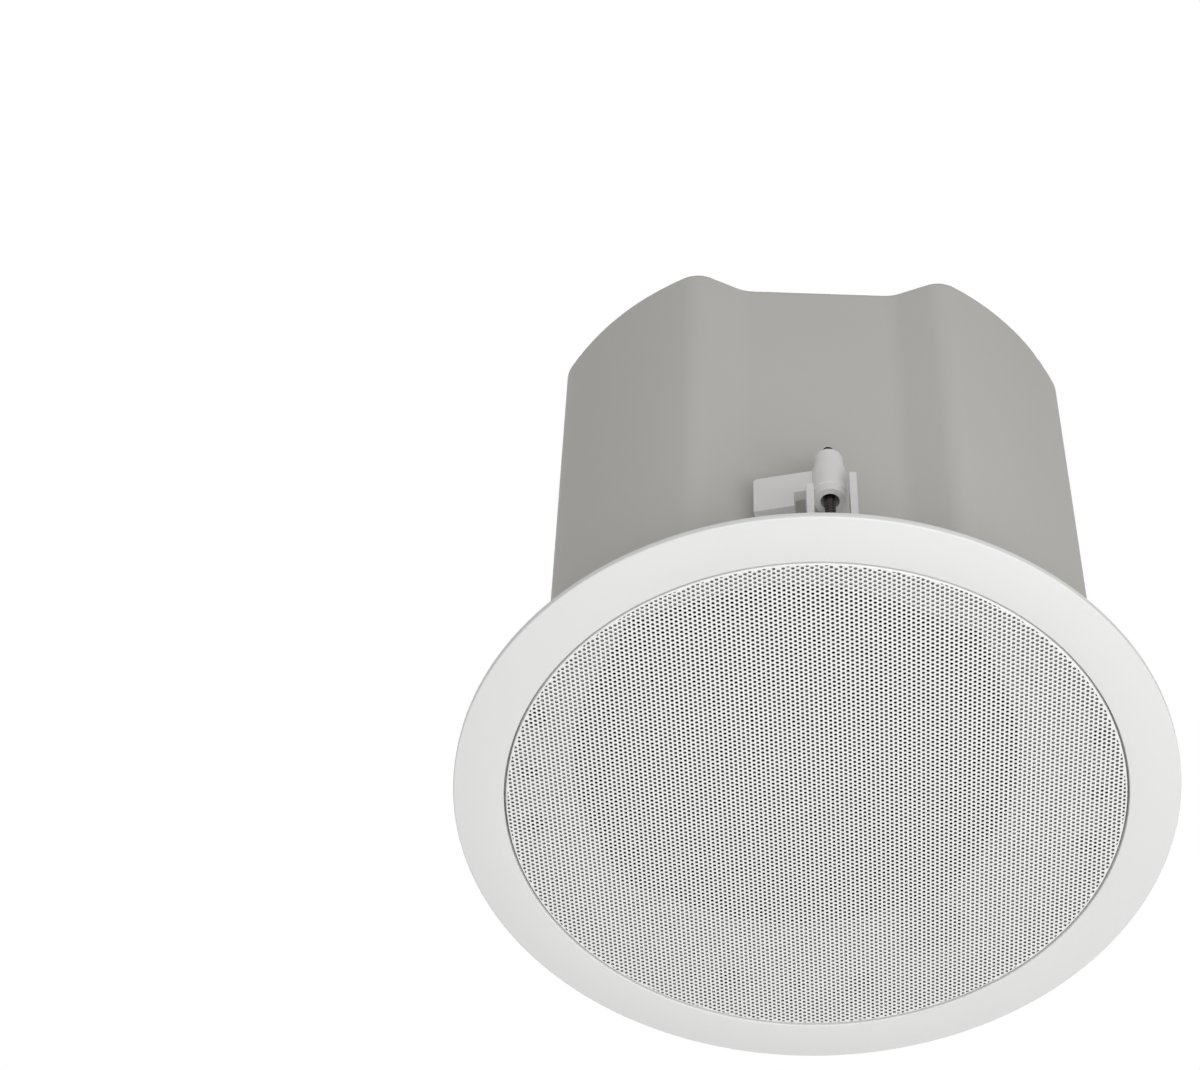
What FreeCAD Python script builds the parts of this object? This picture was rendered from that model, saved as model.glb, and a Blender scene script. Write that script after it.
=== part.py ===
import FreeCAD, Part
import math
import os
import re

import Sketcher

# Round ceiling speaker with a back can, an offset coaxial driver and four swing-out clamps.
# Frame: +Z up into the ceiling void, origin on the axis in the bezel's back plane. Millimetres and degrees.
SIZES = {
    # bezel and baffle, one moulding
    "bezel_overlap": 21.4,
    "bezel_edge": 3.0,
    "bezel_crown": 1.5,
    "bevel_width": 10.0,
    "bevel_drop": 1.1,
    "edge_round": 0.8,
    "lip_round": 0.6,
    "grille_seat": 3.2,
    "shoulder_height": 1.5,
    "shoulder_draft": 0.8,
    "neck_wall": 5.8,
    "neck_margin": 4.2,
    "floor_front": 15.0,
    "floor_thick": 3.0,
    # grille
    "grille_gap": 1.0,
    "grille_sheet": 0.8,
    "grille_inset": 0.3,
    "grille_seat_gap": 0.3,
    "grille_round": 0.6,
    "grille_plain_rim": 5.0,
    "opening_pitch": 24.0,
    "opening_width": 14.4,
    # back can
    "can_radius": 139.4,
    "can_top": 251.0,
    "can_wall": 1.5,
    "can_flange": 6.0,
    "can_round": 6.0,
    "channel_depth": 23.6,
    "channel_half": 36.6,
    "channel_flank": 23.0,
    "channel_inner_round": 20.0,
    "channel_outer_round": 16.0,
    "gasket_thick": 1.0,
    "notch_half": 16.0,
    "bolt_inset": 6.9,
    "bolt_spread": 14.3,
    "bolt_shank": 2.5,
    "bolt_flats": 8.8,
    "bolt_head": 3.2,
    "bolt_reach": 2.0,
    "hole_gap": 0.3,
    # clamps
    "clamp_inset": 8.4,
    "screw_radius": 2.5,
    "screw_top": 92.8,
    "screw_head_radius": 4.6,
    "screw_head": 2.6,
    "head_crown": 0.68,
    "head_side": 0.4,
    "screw_collar_radius": 4.4,
    "screw_collar": 1.2,
    "running_gap": 0.06,
    "nut_radius": 4.24,
    "nut_low": 66.0,
    "nut_height": 14.0,
    "hub_low": 53.5,
    "hub_collar_radius": 7.2,
    "hub_collar": 5.0,
    "hub_radius": 7.6,
    "hub_cap_low": 75.0,
    "hub_cap_radius": 6.6,
    "hub_top": 86.0,
    "hub_round": 2.4,
    "arm_reach": 34.0,
    "arm_thick": 5.0,
    "arm_height": 21.5,
    "arm_drop": 2.5,
    "arm_round": 2.0,
    "arm_notch_end": 15.8,
    "arm_notch_height": 7.5,
    "stow_tilt": 13.0,
    "post_inner": 8.0,
    "post_width": 3.2,
    "post_offset": 4.5,
    "post_depth": 6.0,
    "stop_post_top": 62.0,
    "catch_post_top": 52.5,
    "boss_radius": 8.0,
    "boss_height": 2.4,
    # woofer
    "driver_x": -9.3,
    "driver_y": -12.0,
    "baffle_margin": 35.8,
    "frame_thick": 2.8,
    "ear_offset": 0.7,
    "ear_radius": 7.2,
    "ear_screw_radius": 2.4,
    "ear_head_radius": 4.3,
    "ear_head": 2.8,
    "ear_screw_reach": 9.0,
    "rib_width": 2.2,
    "rib_height": 1.6,
    "rib_length": 13.0,
    "rib_spread": 11.5,
    "cutout_gap": 1.0,
    "frame_land": 7.0,
    "basket_wall": 1.6,
    "basket_shoulder": 28.0,
    "platform_radius": 53.0,
    "platform_low": 58.0,
    "motor_seat": 70.0,
    "coil_hole": 21.0,
    "window_width": 34.0,
    "window_span": 0.7,
    "window_rise": 0.9,
    "gasket_land": 4.0,
    "gasket_width": 4.6,
    "gasket_ring": 1.5,
    "surround_skin": 0.8,
    "surround_land": 1.5,
    "roll_inset": 17.0,
    "roll_radius": 7.4,
    "cone_land": 0.6,
    "cone_front": 12.6,
    "cone_neck": 47.0,
    "cone_skin": 0.9,
    "cone_curve": 150.0,
    "former_radius": 17.5,
    "former_skin": 0.35,
    "former_end": 81.0,
    "winding_low": 65.0,
    "winding_thick": 0.8,
    "spider_height": 60.0,
    "spider_skin": 0.8,
    "spider_wave": 1.8,
    "plate_hole": 19.2,
    "plate_radius": 52.0,
    "plate_thick": 6.0,
    "magnet_radius": 55.0,
    "magnet_hole": 26.0,
    "magnet_height": 18.0,
    "yoke_radius": 50.0,
    "yoke_thick": 6.0,
    "pole_radius": 16.5,
    "pole_bore": 5.2,
    # tweeter
    "post_radius": 5.0,
    "post_nut_flats": 14.0,
    "post_nut": 5.0,
    "tweeter_radius": 25.0,
    "tweeter_front": 8.0,
    "tweeter_back": 25.0,
    "horn_mouth": 22.6,
    "horn_rim": 1.6,
    "horn_wall": 2.6,
    "horn_curve": 15.0,
    "housing_taper": 9.5,
    "housing_slope": 6.5,
    "throat_radius": 13.2,
    "throat_depth": 6.5,
    "fin_width": 1.2,
    "fin_depth": 2.3,
    "fin_offset": 7.1,
    "dome_radius": 12.4,
    "dome_rise": 4.6,
    "dome_skin": 0.5,
    "tweeter_motor": 11.2,
    # port and tap selector
    "port_inset": 29.4,
    "port_angle": 56.3,
    "port_radius": 16.0,
    "port_wall": 2.0,
    "port_length": 78.0,
    "port_flare": 3.0,
    "port_collar": 3.0,
    "knob_inset": 22.7,
    "knob_angle": 126.0,
    "knob_radius": 13.2,
    "knob_gap": 0.3,
    "knob_proud": 1.4,
    "knob_height": 4.0,
    "knob_edge": 0.6,
    "knob_slot": 2.2,
    "knob_slot_length": 17.0,
    "knob_slot_depth": 1.6,
    "switch_radius": 11.0,
    "switch_height": 20.0,
    "switch_lip": 1.2,
    "switch_flange": 1.5,
    "spindle_radius": 3.0,
    # transformer and crossover, under the can's top
    "transformer_x": -45.0,
    "core_width": 66.0,
    "core_height": 55.0,
    "core_stack": 30.0,
    "core_leg": 22.0,
    "core_window": 11.0,
    "core_window_height": 33.0,
    "bobbin_gap": 0.3,
    "bobbin_build": 10.4,
    "strap_thick": 1.5,
    "strap_ear": 14.0,
    "strap_width": 24.0,
    "strap_drop": 44.0,
    "board_x": 48.0,
    "board_width": 70.0,
    "board_depth": 60.0,
    "board_thick": 1.6,
    "standoff_height": 10.0,
    "standoff_radius": 3.0,
    "standoff_edge": 5.0,
    "inductor_radius": 16.0,
    "inductor_hole": 7.0,
    "inductor_height": 14.0,
    "capacitor_radius": 7.0,
    "capacitor_length": 24.0,
    "capacitor_spread": 9.0,
    # terminal cover and tether eye, on the can's top
    "cover_width": 84.0,
    "cover_depth": 60.0,
    "cover_height": 30.0,
    "cover_sheet": 1.2,
    "cover_tab": 12.0,
    "inlet_radius": 11.0,
    "block_width": 40.0,
    "block_depth": 16.0,
    "block_height": 14.0,
    "block_hole": 2.4,
    "block_y": 12.0,
    "eye_y": 72.0,
    "eye_width": 26.0,
    "eye_foot": 18.0,
    "eye_sheet": 2.0,
    "eye_height": 24.0,
    "eye_hole": 5.0,
    "eye_screw_reach": 10.8,
    "top_screw_radius": 2.0,
    "top_screw_head": 3.6,
    "top_screw_head_height": 2.0,
}
# Sizes that follow from the can: what fits in it, round it or on it keeps its named wall or clearance.
DERIVED = {
    "neck_radius": "=can_radius + neck_margin",
    "recess_radius": "=neck_radius - neck_wall",
    "shoulder_radius": "=recess_radius + shoulder_draft",
    "lip_radius": "=shoulder_radius + grille_seat",
    "bezel_radius": "=neck_radius + bezel_overlap",
    "channel_floor": "=can_radius - channel_depth",
    "bolt_circle": "=can_radius - bolt_inset",
    "clamp_circle": "=can_radius - clamp_inset",
    "post_near": "=clamp_circle + post_offset",
    "frame_radius": "=recess_radius - baffle_margin",
    "ear_circle": "=frame_radius + ear_offset",
    "basket_radius": "=frame_radius - frame_land",
    "gasket_outer": "=frame_radius - gasket_land",
    "gasket_inner": "=gasket_outer - gasket_width",
    "surround_outer": "=gasket_outer - surround_land",
    "roll_middle": "=frame_radius - roll_inset",
    "cone_edge": "=roll_middle - roll_radius - cone_land",
    "port_x": "=(can_radius - port_inset) * cos(port_angle * 1deg)",
    "port_y": "=(can_radius - port_inset) * sin(port_angle * 1deg)",
    "knob_x": "=(can_radius - knob_inset) * cos(knob_angle * 1deg)",
    "knob_y": "=(can_radius - knob_inset) * sin(knob_angle * 1deg)",
}
CLAMPS = 4
CLAMP_TURNS = [(0, -1), (1, 0), (0, 1), (-1, 0)]
EARS = 4
FIRST_EAR = 45.0
FIN_ANGLE = -42.0
WINDOWS = 6
SPIDER_WAVES = 4
BLOCK_WELLS = 4
PATTERN_ANGLE = 360.0

doc = FreeCAD.newDocument("ceiling_speaker")
sheet = doc.addObject("Spreadsheet::Sheet", "sizes")
aliases = {**SIZES, **DERIVED}
for row, (alias, value) in enumerate(aliases.items(), start=1):
    sheet.set("A%d" % row, alias)
    sheet.set("B%d" % row, str(value))
    sheet.setAlias("B%d" % row, alias)
doc.recompute()

Z_AXIS = FreeCAD.Vector(0, 0, 1)
subparts = []


def size(alias):
    """A driving dimension, read from the sheet."""
    return float(sheet.get(alias))


def formula(text):
    """A formula in the sheet's own words, with the sheet's name put before each alias."""
    def qualified(word):
        return "sizes." + word.group() if word.group() in aliases else word.group()

    return re.sub(r"[a-z]\w*", qualified, text)


def number(text):
    """The value of a formula."""
    return float(sheet.evalExpression(formula(text)))


def bind(thing, **sizes):
    """Ties properties of an object to formulas; x, y and z are its place."""
    for name, text in sizes.items():
        path = "Placement.Base." + name if name in ("x", "y", "z") else name
        thing.setExpression(path, formula(text))
    return thing


def label(thing, name):
    """Names a finished sub-part and keeps it for export."""
    thing.Label = name
    subparts.append(thing)
    return thing


def box(name, length, width, height, x="0", y="0", z="0"):
    """A block centred on x and y, standing on z."""
    thing = doc.addObject("Part::Box", name)
    centred_x = "%s - (%s) / 2" % (x, length)
    centred_y = "%s - (%s) / 2" % (y, width)
    return bind(thing, Length=length, Width=width, Height=height, x=centred_x, y=centred_y, z=z)


def rod(name, radius, height, x="0", y="0", z="0"):
    """An upright cylinder."""
    thing = doc.addObject("Part::Cylinder", name)
    return bind(thing, Radius=radius, Height=height, x=x, y=y, z=z)


def hexagon(name, flats, height, x="0", y="0", z="0"):
    """An upright hexagonal prism, given across its flats."""
    thing = doc.addObject("Part::Prism", name)
    thing.Polygon = 6
    return bind(thing, Circumradius="(%s) / sqrt(3)" % flats, Height=height, x=x, y=y, z=z)


def fuse(name, things):
    """One solid from several."""
    thing = doc.addObject("Part::MultiFuse", name)
    thing.Shapes = things
    thing.Refine = True
    return thing


def group(name, things):
    """Separate solids in one node."""
    thing = doc.addObject("Part::Compound", name)
    thing.Links = things
    return thing


def cut(name, base, tools):
    """A solid less the tools."""
    thing = doc.addObject("Part::Cut", name)
    thing.Base = base
    thing.Tool = tools[0] if len(tools) == 1 else group(name + "_tools", tools)
    return thing


def turn(thing, angle, x=0.0, y=0.0):
    """Turns a finished object about an upright axis through x, y."""
    spin = FreeCAD.Placement(FreeCAD.Vector(), FreeCAD.Rotation(Z_AXIS, angle), FreeCAD.Vector(x, y, 0))
    thing.Placement = spin.multiply(thing.Placement)
    return thing


def new_body(name):
    """A body and its origin planes by role."""
    body = doc.addObject("PartDesign::Body", name)
    planes = {feature.Role: feature for feature in body.Origin.OriginFeatures}
    return body, planes


def sketch_on(body, plane, name):
    """An empty sketch on one of the body's origin planes."""
    sketch = body.newObject("Sketcher::SketchObject", name)
    sketch.AttachmentSupport = [(plane, "")]
    sketch.MapMode = "FlatFace"
    return sketch


def place_vertex(sketch, curve, end, across, up):
    """Ties one end of a curve to formulas for its two coordinates."""
    for kind, axis, text in (("DistanceX", -2, across), ("DistanceY", -1, up)):
        if text == "0":
            sketch.addConstraint(Sketcher.Constraint("PointOnObject", curve, end, axis))
        else:
            index = sketch.addConstraint(Sketcher.Constraint(kind, -1, 1, curve, end, number(text)))
            sketch.setExpression("Constraints[%d]" % index, formula(text))


def arc_between(start, end, radius):
    """The arc from start to end, turning left for a radius above 0 and right below it."""
    chord = end - start
    middle = (start + end) * 0.5
    rise = math.sqrt(max(radius * radius - chord.Length ** 2 / 4, 0.0))
    left = FreeCAD.Vector(-chord.y, chord.x, 0).normalize()
    centre = middle + left * math.copysign(rise, radius)
    first, last = (start, end) if radius > 0 else (end, start)
    angles = [math.atan2(point.y - centre.y, point.x - centre.x) for point in (first, last)]
    return Part.ArcOfCircle(Part.Circle(centre, Z_AXIS, abs(radius)), angles[0], angles[1])


def outline(sketch, points):
    """A closed outline. A point is (across, up), or (across, up, radius) where an arc leads to it."""
    places = [FreeCAD.Vector(number(point[0]), number(point[1]), 0) for point in points]
    curves = []
    for index, point in enumerate(points):
        start, end = places[index - 1], places[index]
        if len(point) == 2:
            curve = sketch.addGeometry(Part.LineSegment(start, end), False)
            curves.append((curve, 1, 2))
            continue
        radius = number(point[2])
        curve = sketch.addGeometry(arc_between(start, end, radius), False)
        curves.append((curve, 1, 2) if radius > 0 else (curve, 2, 1))
    for index, point in enumerate(points):
        curve, _, end = curves[index]
        following, start, _ = curves[(index + 1) % len(points)]
        sketch.addConstraint(Sketcher.Constraint("Coincident", curve, end, following, start))
        place_vertex(sketch, curve, end, point[0], point[1])
        if len(point) == 3:
            text = point[2].lstrip("-")
            bound = sketch.addConstraint(Sketcher.Constraint("Radius", curve, number(text)))
            sketch.setExpression("Constraints[%d]" % bound, formula(text))


def turned(name, points, x="0", y="0"):
    """A piece of revolution about an upright axis through x, y; points are (radius, height)."""
    body, planes = new_body(name)
    sketch = sketch_on(body, planes["XZ_Plane"], name + "_profile")
    outline(sketch, points)
    feature = body.newObject("PartDesign::Revolution", name + "_turn")
    feature.Profile = sketch
    feature.ReferenceAxis = (sketch, ["V_Axis"])
    feature.Angle = PATTERN_ANGLE
    return bind(body, x=x, y=y)


def ring(name, outer, inner, low, high, x="0", y="0"):
    """A plain ring or tube between two heights."""
    return turned(name, [(inner, low), (outer, low), (outer, high), (inner, high)], x, y)


def upright_edges(shape, low, high):
    """Names and middle radii of a shape's straight upright edges between two heights."""
    found = []
    for index, edge in enumerate(shape.Edges, start=1):
        heights = sorted(vertex.Z for vertex in edge.Vertexes)
        if len(heights) == 2 and heights[0] < low + 0.01 and heights[1] > high - 0.01:
            middle = edge.CenterOfMass
            found.append(("Edge%d" % index, math.hypot(middle.x, middle.y)))
    return found


def lobed(name, inset, low, high, crown=None):
    """The can's form: a round with four channels, moved inwards by an inset, between two heights."""
    body, planes = new_body(name)
    radius = "can_radius - (%s)" % inset
    rim = sketch_on(body, planes["XY_Plane"], name + "_round")
    circle = rim.addGeometry(Part.Circle(FreeCAD.Vector(), Z_AXIS, number(radius)), False)
    rim.addConstraint(Sketcher.Constraint("Coincident", circle, 3, -1, 1))
    bound = rim.addConstraint(Sketcher.Constraint("Radius", circle, number(radius)))
    rim.setExpression("Constraints[%d]" % bound, formula(radius))
    pad = body.newObject("PartDesign::Pad", name + "_pad")
    pad.Profile = rim
    height = "(%s) - (%s)" % (high, low)
    bind(pad, Length=height)
    channel = sketch_on(body, planes["XY_Plane"], name + "_channel")
    floor = "channel_floor - (%s)" % inset
    half = "channel_half + (%s) * tan(channel_flank * 1deg / 2)" % inset
    wide = "%s + (can_radius - channel_floor) / tan(channel_flank * 1deg)" % half
    outside = "-(can_radius - (%s))" % inset
    outline(channel, [(half, "-(%s)" % floor), (wide, outside), ("-(%s)" % wide, outside),
                      ("-(%s)" % half, "-(%s)" % floor)])
    pocket = body.newObject("PartDesign::Pocket", name + "_pocket")
    pocket.Profile = channel
    pocket.Type = "ThroughAll"
    pocket.Reversed = True
    pattern = body.newObject("PartDesign::PolarPattern", name + "_pattern")
    pattern.Originals = [pocket]
    pattern.Axis = (channel, ["N_Axis"])
    pattern.Angle = PATTERN_ANGLE
    pattern.Occurrences = CLAMPS
    body.Tip = pattern
    doc.recompute()
    tall = number(height)
    inner = [edge for edge, reach in upright_edges(pattern.Shape, 0, tall) if reach < number(radius) - 1]
    soften = body.newObject("PartDesign::Fillet", name + "_channel_round")
    soften.Base = (pattern, inner)
    bind(soften, Radius="channel_inner_round + (%s)" % inset)
    doc.recompute()
    outer = [edge for edge, reach in upright_edges(soften.Shape, 0, tall) if reach > number(radius) - 0.1]
    hump = body.newObject("PartDesign::Fillet", name + "_hump_round")
    hump.Base = (soften, outer)
    bind(hump, Radius="channel_outer_round - (%s)" % inset)
    if crown:
        doc.recompute()
        top = ["Edge%d" % index for index, edge in enumerate(hump.Shape.Edges, start=1)
               if min(vertex.Z for vertex in edge.Vertexes) > tall - 0.01]
        rounding = body.newObject("PartDesign::Fillet", name + "_crown")
        rounding.Base = (hump, top)
        bind(rounding, Radius=crown)
    return bind(body, z=low)


FLOOR_BACK = "floor_front + floor_thick"
BEZEL_FRONT = "-(bezel_edge + bezel_crown)"
FLANGE_LOW = "floor_front + floor_thick + gasket_thick"
FLANGE_HIGH = FLANGE_LOW + " + can_wall"


def around(radius, turn_pair):
    """The x and y formulas of a point at a radius on one of the four clamp directions."""
    return "%s * %d" % (radius, turn_pair[0]), "%s * %d" % (radius, turn_pair[1])


def bolt_places():
    """The x and y formulas of the eight bolts that hold the can, two beside each clamp."""
    places = []
    for index in range(CLAMPS):
        middle = index * PATTERN_ANGLE / CLAMPS
        for side in ("-", "+"):
            angle = "(%g %s bolt_spread) * 1deg" % (middle, side)
            places.append(("bolt_circle * cos(%s)" % angle, "bolt_circle * sin(%s)" % angle))
    return places


def ear_places():
    """The x and y formulas of the woofer's four ear screws."""
    places = []
    for index in range(EARS):
        angle = "%g * 1deg" % (FIRST_EAR + index * PATTERN_ANGLE / EARS)
        places.append(("driver_x + ear_circle * cos(%s)" % angle, "driver_y + ear_circle * sin(%s)" % angle))
    return places


def make_bezel():
    """Bezel, recess wall, neck and baffle floor in one moulding, with the clamps' posts and bosses."""
    shell = turned("bezel_shell", [
        ("0", "floor_front"),
        ("recess_radius", "floor_front"),
        ("shoulder_radius", "shoulder_height"),
        ("lip_radius", "shoulder_height"),
        ("lip_radius", BEZEL_FRONT + " + lip_round"),
        ("lip_radius + lip_round", BEZEL_FRONT, "lip_round"),
        ("bezel_radius - bevel_width", BEZEL_FRONT + " + bezel_crown - bevel_drop"),
        ("bezel_radius - edge_round", "-bezel_edge"),
        ("bezel_radius", "edge_round - bezel_edge", "edge_round"),
        ("bezel_radius", "0"),
        ("neck_radius", "0"),
        ("neck_radius", FLOOR_BACK),
        ("0", FLOOR_BACK),
    ])
    added = [shell]
    holes = [rod("woofer_cutout", "basket_radius + cutout_gap", "floor_thick * 3", "driver_x", "driver_y",
                 "floor_front - floor_thick"),
             rod("port_hole", "port_radius + port_wall", "floor_thick * 3", "port_x", "port_y",
                 "floor_front - floor_thick"),
             rod("knob_hole", "knob_radius + knob_gap", "floor_thick * 3", "knob_x", "knob_y",
                 "floor_front - floor_thick")]
    middle = "(post_near + post_depth / 2)"
    for index, pair in enumerate(CLAMP_TURNS):
        for side, top in ((-1, "catch_post_top"), (1, "stop_post_top")):
            across = "%d * (post_inner + post_width / 2)" % side
            height = "%s - floor_front - floor_thick / 2" % top
            post = box("guide_post_%d_%s" % (index, top), "post_width", "post_depth", height,
                       across, "-" + middle, "floor_front + floor_thick / 2")
            carried = group("guide_post_turn_%d_%s" % (index, top), [post])
            added.append(turn(carried, index * PATTERN_ANGLE / CLAMPS))
        x, y = around("clamp_circle", pair)
        added.append(rod("screw_boss_%d" % index, "boss_radius", "boss_height + floor_thick / 2", x, y,
                         "floor_front - boss_height"))
        holes.append(rod("screw_hole_%d" % index, "screw_radius + hole_gap", "floor_thick * 4", x, y,
                         "floor_front - floor_thick"))
        holes.append(rod("screw_seat_%d" % index, "screw_head_radius + hole_gap", "boss_height + floor_thick",
                         x, y, "floor_front - boss_height - floor_thick"))
    for index, (x, y) in enumerate(bolt_places()):
        holes.append(rod("bolt_hole_%d" % index, "bolt_shank + hole_gap", "floor_thick * 3", x, y,
                         "floor_front - floor_thick"))
    for index, (x, y) in enumerate(ear_places()):
        holes.append(rod("ear_hole_%d" % index, "ear_screw_radius", "floor_thick * 3", x, y,
                         "floor_front - floor_thick"))
    label(cut("bezel_moulding", fuse("bezel_blank", added), holes), "bezel_baffle")


def make_grille():
    """Sheet-metal pan with a turned-up rim, perforated on a triangular lattice of hexagonal openings."""
    front = BEZEL_FRONT + " + grille_inset"
    rim = "lip_radius - grille_gap"
    top = "shoulder_height - grille_seat_gap"
    pan = turned("grille_pan", [
        ("0", front),
        (rim + " - grille_round", front),
        (rim, front + " + grille_round", "grille_round"),
        (rim, top),
        (rim + " - grille_sheet", top),
        (rim + " - grille_sheet", front + " + grille_sheet"),
        ("0", front + " + grille_sheet"),
    ])
    pitch = size("opening_pitch")
    reach = number(rim) - size("grille_plain_rim") - size("opening_width") / 2
    rows = int(reach / (pitch * math.sqrt(3) / 2)) + 1
    columns = int(reach / pitch) + 1
    corner = FreeCAD.Vector(0, size("opening_width") / math.sqrt(3), number(front) - size("grille_sheet"))
    corners = [FreeCAD.Rotation(Z_AXIS, 60 * step).multVec(corner) for step in range(7)]
    opening = Part.Face(Part.makePolygon(corners)).extrude(Z_AXIS * (3 * size("grille_sheet")))
    openings = []
    for row_index in range(-rows, rows + 1):
        for column in range(-columns - 1, columns + 1):
            across = row_index * pitch * math.sqrt(3) / 2
            along = (column + row_index % 2 / 2) * pitch
            place = FreeCAD.Vector(across, along, 0)
            if place.Length < reach:
                openings.append(opening.translated(place))
    perforation = doc.addObject("Part::Feature", "grille_openings")
    perforation.Shape = Part.makeCompound(openings)
    label(cut("grille_perforated", pan, [perforation]), "grille")


def mouth_cutters(name, low, height):
    """Notches for the clamps and holes for the bolts, cut through the can's flange and its gasket."""
    tools = []
    for index in range(CLAMPS):
        notch = box("%s_notch_%d" % (name, index), "2 * notch_half", "can_radius - channel_floor", height,
                    "0", "-(can_radius + channel_floor) / 2 - can_wall", low)
        carried = group("%s_notch_turn_%d" % (name, index), [notch])
        tools.append(turn(carried, index * PATTERN_ANGLE / CLAMPS))
    for index, (x, y) in enumerate(bolt_places()):
        tools.append(rod("%s_bolt_hole_%d" % (name, index), "bolt_shank + hole_gap", height, x, y, low))
    return tools


def make_can():
    """Drawn steel can with four channels, a flat mouth flange and a rounded top edge, with its gasket."""
    skin = lobed("can_outside", "0", FLANGE_LOW, "can_top", "can_round")
    flange = rod("can_mouth", "can_radius", "can_wall", z=FLANGE_LOW)
    blank = fuse("can_blank", [skin, flange])
    hollow = lobed("can_inside", "can_wall", FLANGE_HIGH, "can_top - can_wall", "can_round - can_wall")
    mouth = lobed("can_opening", "can_flange", "%s - can_wall" % FLANGE_LOW, "%s + can_wall" % FLANGE_HIGH)
    tools = mouth_cutters("can", "%s - can_wall" % FLANGE_LOW, "can_wall * 3")
    label(cut("can_shell", blank, [hollow, mouth] + tools), "back_can")
    pad = rod("gasket_blank", "can_radius", "gasket_thick", z=FLOOR_BACK)
    hole = lobed("gasket_opening", "can_flange", "%s - gasket_thick" % FLOOR_BACK, FLANGE_HIGH)
    cutters = mouth_cutters("gasket", "%s - gasket_thick" % FLOOR_BACK, "gasket_thick * 3")
    label(cut("gasket_sheet", pad, [hole] + cutters), "can_gasket")
    bolts = []
    for index, (x, y) in enumerate(bolt_places()):
        head = hexagon("bolt_head_%d" % index, "bolt_flats", "bolt_head", x, y, "floor_front - bolt_head")
        shank = rod("bolt_shank_%d" % index, "bolt_shank",
                    "bolt_head / 2 + floor_thick + gasket_thick + can_wall + bolt_reach", x, y,
                    "floor_front - bolt_head / 2")
        bolts.append(fuse("bolt_%d" % index, [head, shank]))
    label(group("bolt_set", bolts), "can_bolts")


def make_clamp(index, pair):
    """One clamp: long screw held in the baffle, nut that climbs on it, and arm that swings on the nut."""
    x, y = around("clamp_circle", pair)
    mark = "_%d" % (index + 1)
    collar_low = FLOOR_BACK + " + hole_gap"
    screw = turned("screw_turned" + mark, [
        ("0", "floor_front - screw_head"),
        ("screw_head_radius * head_crown", "floor_front - screw_head"),
        ("screw_head_radius", "floor_front - screw_head * head_side"),
        ("screw_head_radius", "floor_front"),
        ("screw_radius", "floor_front"),
        ("screw_radius", collar_low),
        ("screw_collar_radius", collar_low),
        ("screw_collar_radius", collar_low + " + screw_collar"),
        ("screw_radius", collar_low + " + screw_collar"),
        ("screw_radius", "screw_top - screw_radius"),
        ("screw_radius / 2", "screw_top"),
        ("0", "screw_top"),
    ], x, y)
    label(screw, "clamp_screw" + mark)
    nut = ring("nut_turned" + mark, "nut_radius", "screw_radius + running_gap", "nut_low",
               "nut_low + nut_height", x, y)
    label(nut, "clamp_nut" + mark)
    stowed = PATTERN_ANGLE / 2 - size("stow_tilt") + index * PATTERN_ANGLE / CLAMPS
    label(clamp_arm(mark, x, y, stowed), "clamp_arm" + mark)


def clamp_arm(mark, x, y, angle):
    """Hub with collar, sleeve and rounded cap, and a flat arm with a notch that clears the catch post."""
    body, planes = new_body("arm" + mark)
    bore = "nut_radius + running_gap"
    nut_top = "nut_low + nut_height + running_gap"
    profile = sketch_on(body, planes["XZ_Plane"], "hub_profile" + mark)
    outline(profile, [
        (bore, "hub_low"),
        ("hub_collar_radius", "hub_low"),
        ("hub_collar_radius", "hub_low + hub_collar"),
        ("hub_radius", "hub_low + hub_collar"),
        ("hub_radius", "hub_cap_low"),
        ("hub_cap_radius", "hub_cap_low"),
        ("hub_cap_radius", "hub_top - hub_round"),
        ("hub_cap_radius - hub_round", "hub_top", "hub_round"),
        ("screw_radius + hole_gap", "hub_top"),
        ("screw_radius + hole_gap", nut_top),
        (bore, nut_top),
    ])
    hub = body.newObject("PartDesign::Revolution", "hub_turn" + mark)
    hub.Profile = profile
    hub.ReferenceAxis = (profile, ["V_Axis"])
    hub.Angle = PATTERN_ANGLE
    side = sketch_on(body, planes["XZ_Plane"], "arm_side" + mark)
    root = "(hub_collar_radius + %s) / 2" % bore
    notch_top = "hub_low + arm_notch_height"
    arm_top = "hub_low + arm_height"
    outline(side, [
        (root, notch_top),
        ("arm_notch_end", notch_top),
        ("arm_notch_end", "hub_low - arm_drop"),
        ("arm_reach", "hub_low - arm_drop"),
        ("arm_reach", arm_top + " - arm_round"),
        ("arm_reach - arm_round", arm_top, "arm_round"),
        (root, arm_top),
    ])
    plate = body.newObject("PartDesign::Pad", "arm_plate" + mark)
    plate.Profile = side
    plate.SideType = "Symmetric"
    bind(plate, Length="arm_thick")
    body.Placement = FreeCAD.Placement(FreeCAD.Vector(), FreeCAD.Rotation(Z_AXIS, angle))
    return bind(body, x=x, y=y)


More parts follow.
